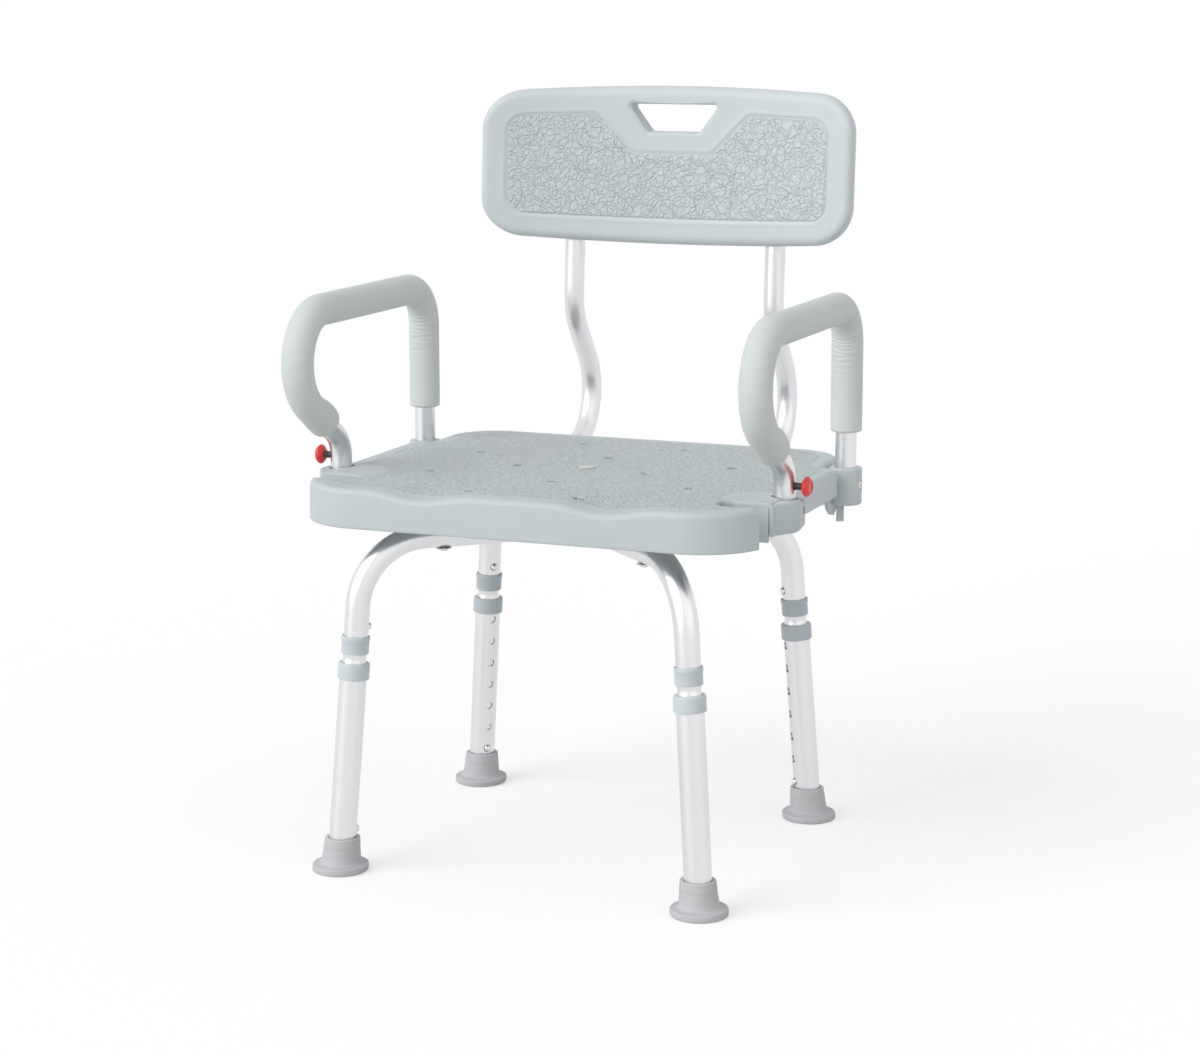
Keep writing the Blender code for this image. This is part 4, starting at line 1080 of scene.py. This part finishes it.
screwMake = {"washerTop": 0.3302, "washerR": 0.0082, "headR": 0.0054}
washer, headR = screwMake["washerTop"], screwMake["headR"]
screw = lathe("seatScrew", [(0.0008, 0.386), (0.0021, 0.3835), (0.0021, washer), (0.0078, washer),
                            (screwMake["washerR"], washer - 0.0003), (screwMake["washerR"], washer - 0.0009),
                            (0.0078, washer - 0.0012), (headR, washer - 0.0012)]
              + dome(headR, washer - 0.0014, -0.0028, (8, 25, 42, 58, 74, 86)), 36)
crossRecess(screw, 0.0024, washer - 0.006, washer - 0.0032)
for sx, sy, corner in corners:
    turn = Matrix.Rotation(0.5 + sx + 2 * sy, 4, "Z")        # each stops at its own angle
    one = copied(screw, "seatScrew_" + corner, Matrix.Translation(screwPlace(sx, sy)) @ turn)
    settle(one, "seat_screw_" + corner, steel)
removed(screw)

boltTop = 0.3558
bolt = lathe("crossBolt", [(0.0029, 0.3245), (0.003, 0.3250), (0.003, boltTop), (0.0055, boltTop),
                           (0.0057, boltTop + 0.0006)]
             + dome(0.0055, boltTop + 0.0008, 0.0027, (10, 28, 46, 64, 82)), 32)
settle(bolt, "cross_bolt", steel)
nutTop = 0.3302
nut = lathe("crossNut", [(0.0033, nutTop), (0.0072, nutTop), (0.0075, nutTop - 0.0003),
                         (0.0075, nutTop - 0.0010), (0.0072, nutTop - 0.0012), (0.0052, nutTop - 0.0012),
                         (0.0052, nutTop - 0.0060), (0.0046, nutTop - 0.0066)]
            + dome(0.0042, nutTop - 0.0068, -0.0046, (5, 25, 45, 65, 80))
            + [(0.0006, nutTop - 0.0085), (0.0033, nutTop - 0.0080)], 36, True)
settle(nut, "cross_nut", steel)
print("frame made")


# ------ legs
legMake = {
    "outerR": 0.014, "wall": 0.0012, "low": 0.0098, "high": 0.2165, "firstHole": 0.0433, "pitch": 0.0254,
    "innerR": 0.0124, "spigotR": 0.0106, "jointZ": 0.2375, "topHole": 0.2563,
}


def buildOuterLeg(name):
    m = legMake
    r, bore, low, high = m["outerR"], m["outerR"] - m["wall"], m["low"], m["high"]
    runs = [low + (high - low) * i / 12 for i in range(13)]
    profile = [(r - 0.0002, low), (r, low + 0.0002)] + [(r, z) for z in runs[1:-1]] \
        + [(r, high - 0.0002), (r - 0.0002, high), (bore, high)] + [(bore, z) for z in runs[-2::-1]]
    piece = lathe(name, profile, 56, True)
    holes = [barAcross("hole", 0.005, 0.02, 0, m["firstHole"] + m["pitch"] * i, 0.0043, 28) for i in range(7)]
    return carved(piece, united(holes, "holes"))


def buildInnerLeg(name):
    m = legMake
    shoulder, inner, spigot = m["jointZ"] - 0.0003, m["innerR"], m["spigotR"]
    bore, spigotBore = inner - m["wall"], spigot - m["wall"]
    profile = [(inner, 0.024), (inner, 0.12), (inner, 0.2145), (inner, 0.2205), (inner - 0.0006, 0.2222),
               (inner - 0.0008, 0.2245), (inner - 0.0003, 0.2262), (inner, 0.2275), (inner, shoulder - 0.001),
               (spigot, shoulder), (spigot, 0.272), (spigot - 0.0006, 0.2735), (spigotBore, 0.2735),
               (spigotBore, shoulder), (bore - 0.0009, shoulder - 0.005), (bore - 0.0009, 0.218),
               (bore, 0.21), (bore, 0.024)]
    piece = lathe(name, profile, 48, True)
    holes = [barAcross("hole", 0.005, 0.02, 0, z, 0.0043, 28) for z in (m["firstHole"], m["topHole"])]
    return carved(piece, united(holes, "holes"))


def buildJointCollar(name):          # a ring with a lip around its top
    outer, low, high, bore = 0.01465, 0.2285, 0.2465, frameMake["radius"] + 0.0004
    rim = 0.0008
    return lathe(name, [(bore, low), (outer - 0.0014, low)] + rounding(outer - 0.0014, low + rim, rim, -90, 0)
                 + [(outer - 0.0006, high - 0.0050), (outer - 0.0002, high - 0.0044), (outer, high - 0.0038),
                    (outer, high - rim)] + rounding(outer - rim, high - rim, rim, 15, 90)
                 + [(bore + 0.0003, high), (bore, high - 0.0003)], 56, True)


def buildLegCollar(name):            # sits on the end of the outer leg and runs on the inner one
    outer, low, high = 0.01635, 0.202, 0.219
    bore, step, lip = legMake["outerR"] + 0.0003, 0.2168, legMake["innerR"] + 0.0004
    return lathe(name, [(bore, low), (outer - 0.0009, low)]
                 + rounding(outer - 0.0009, low + 0.0009, 0.0009, -75, 0)
                 + [(outer - 0.0001, low + 0.006), (outer, low + 0.012), (outer, high - 0.0022)]
                 + rounding(outer - 0.0022, high - 0.0022, 0.0022, 12, 90, 6)
                 + [(lip + 0.0003, high), (lip, high - 0.0003), (lip, step), (bore, step)], 56, True)


def buildFoot(name):
    bore, floor = legMake["outerR"] + 0.0004, 0.0082
    outer = [(0.0268, 0.0000)] + rounding(0.0272, 0.0018, 0.0018, -80, 0) + [(0.0290, 0.0052)] \
        + rounding(0.0274, 0.0056, 0.0016, 0, 90, 5) \
        + [(0.0246, 0.0078), (0.0232, 0.0080), (0.0221, 0.0088), (0.0208, 0.0104), (0.0201, 0.0126),
           (0.0196, 0.0170), (0.0190, 0.0235), (0.0187, 0.0262), (0.0189, 0.0268), (0.0187, 0.0276),
           (0.0182, 0.0318)] + rounding(0.0167, 0.0335, 0.0015, 0, 90, 5) \
        + [(bore + 0.0005, 0.0350), (bore, 0.0345), (bore, floor + 0.001), (bore - 0.001, floor),
           (0.002, floor)]
    return lathe(name, [(0.0010, 0.0009), (0.006, 0.0009), (0.0064, 0.0), (0.0120, 0.0), (0.0124, 0.0009),
                        (0.0186, 0.0009), (0.0190, 0.0)] + outer, 64)


def buildSnap(name, height, reach, inside):
    front = inside - 0.0012
    line = foldedLine(front, front - 0.0077, height - 0.006, height + 0.006, height + 0.010)
    strip = leafStrip(name, line, 0.0007, 0.0056)
    return carved(strip, alongX(domedPin("head", reach, front, 0.0038), 0, height), "UNION")


def buildHeightButton(name):
    return buildSnap(name, legMake["firstHole"], 0.0172, legMake["innerR"] - legMake["wall"])


def buildJointButton(name):
    return buildSnap(name, legMake["topHole"], 0.0156, legMake["spigotR"] - legMake["wall"])


legPieces = [
    ("outerLeg", "outer_leg", buildOuterLeg, aluminium, "anodised"),
    ("innerLeg", "inner_leg", buildInnerLeg, aluminium, "anodised"),
    ("jointCollar", "joint_collar", buildJointCollar, collarPaintedShade, "collar_plastic"),
    ("legCollar", "leg_collar", buildLegCollar, collarPaintedShade, "collar_plastic"),
    ("heightButton", "height_button", buildHeightButton, steel, "steel"),
    ("jointButton", "joint_button", buildJointButton, steel, "steel"),
]
for name, node, build, finish, slotName in legPieces:
    pattern = build(name)
    for sx, sy, corner in corners:
        # front collars take the paler copy (painted light), rear collars keep the darker one (painted shade)
        shade = collarPaintedLight if finish is collarPaintedShade and sy < 0 else finish
        settle(copied(pattern, name + "_" + corner, legPlace(sx, sy)), node + "_" + corner, shade)
    removed(pattern)
pattern = buildFoot("foot")
for sx, sy, corner in corners:
    lean = Matrix.Translation((sx * chair["footX"], sy * chair["footY"], 0))
    lean[0][2], lean[1][2] = -sx * chair["leanX"], -sy * chair["leanY"]
    one = copied(pattern, "rubberFoot_" + corner)
    one.data.transform(lean)
    settle(one, "foot_" + corner, rubber)
removed(pattern)
snap = buildSnap("backButton", 0, 0.0160, backMake["radius"] - backMake["wall"])
down = Matrix(((0, 1, 0, 0), (0, 0, 1, seatMake["buttonY"]), (-1, 0, 0, seatMake["tubeZ"]), (0, 0, 0, 1)))
for sx, side in sides:
    one = copied(snap, "backButton_" + side, Matrix.Translation((sx * panelMake["tubeX"], 0, 0)) @ down)
    settle(one, "back_button_" + side, steel)
removed(snap)
print("legs made")


# ------ studio
studio = {
    "cameraAt": (1.085, -2.737, 0.896), "lookAt": (0.0, -0.012, 0.330), "lens": 84.9,
    "floorTone": 0.55, "floorGlow": 0.52, "skyLight": 0.55,
    "key": ((62, 0, -38), 1.75, 50), "fill": ((60, 0, 62), 0.35, 75),    # turn, strength, spread
}
deselectAll()
bpy.ops.mesh.primitive_plane_add(size=60, location=(0, 0, -0.0004))
floor = bpy.context.active_object
floor.name = "studioFloor"
grey = (studio["floorTone"],) * 3
floorPaint, nodes, links, shader = newFinish("floorPaint", grey, 0.9, Specular_IOR_Level=0.0)
seen = addMath(nodes, links, "SUBTRACT", 1.0, addNode(nodes, "LightPath").outputs["Is Diffuse Ray"])
shader.inputs["Emission Color"].default_value = (1, 1, 1, 1)
links.new(addMath(nodes, links, "MULTIPLY", seen, studio["floorGlow"]), shader.inputs["Emission Strength"])
floor.data.materials.append(floorPaint)

bpy.ops.object.camera_add(location=studio["cameraAt"])
camera = bpy.context.active_object
aim = Vector(studio["lookAt"]) - Vector(studio["cameraAt"])
camera.rotation_euler = aim.to_track_quat("-Z", "Y").to_euler()
camera.data.lens = studio["lens"]
camera.data.sensor_width = 36
camera.data.clip_end = 200
bpy.context.scene.camera = camera

for name in ("key", "fill"):
    turn, strength, spread = studio[name]
    bpy.ops.object.light_add(type="SUN", rotation=[radians(a) for a in turn])
    lamp = bpy.context.active_object
    lamp.name = name + "Light"
    lamp.data.energy = strength
    lamp.data.angle = radians(spread)

world = bpy.data.worlds.new("studioAir")
bpy.context.scene.world = world
world.use_nodes = True
air = world.node_tree
background = air.nodes["Background"]
background.inputs["Strength"].default_value = 1.0
ray = air.nodes.new("ShaderNodeLightPath")
tone = air.nodes.new("ShaderNodeMix")
tone.data_type = "RGBA"
tone.inputs["A"].default_value = (studio["skyLight"], studio["skyLight"], studio["skyLight"] * 1.01, 1)
tone.inputs["B"].default_value = (1, 1, 1, 1)
plain = addMath(air.nodes, air.links, "SUBTRACT", 1.0, ray.outputs["Is Diffuse Ray"])
air.links.new(plain, tone.inputs["Factor"])
air.links.new(tone.outputs["Result"], background.inputs["Color"])
bpy.context.scene.view_settings.view_transform = "Standard"
bpy.context.scene.view_settings.look = "None"

print("studio made")
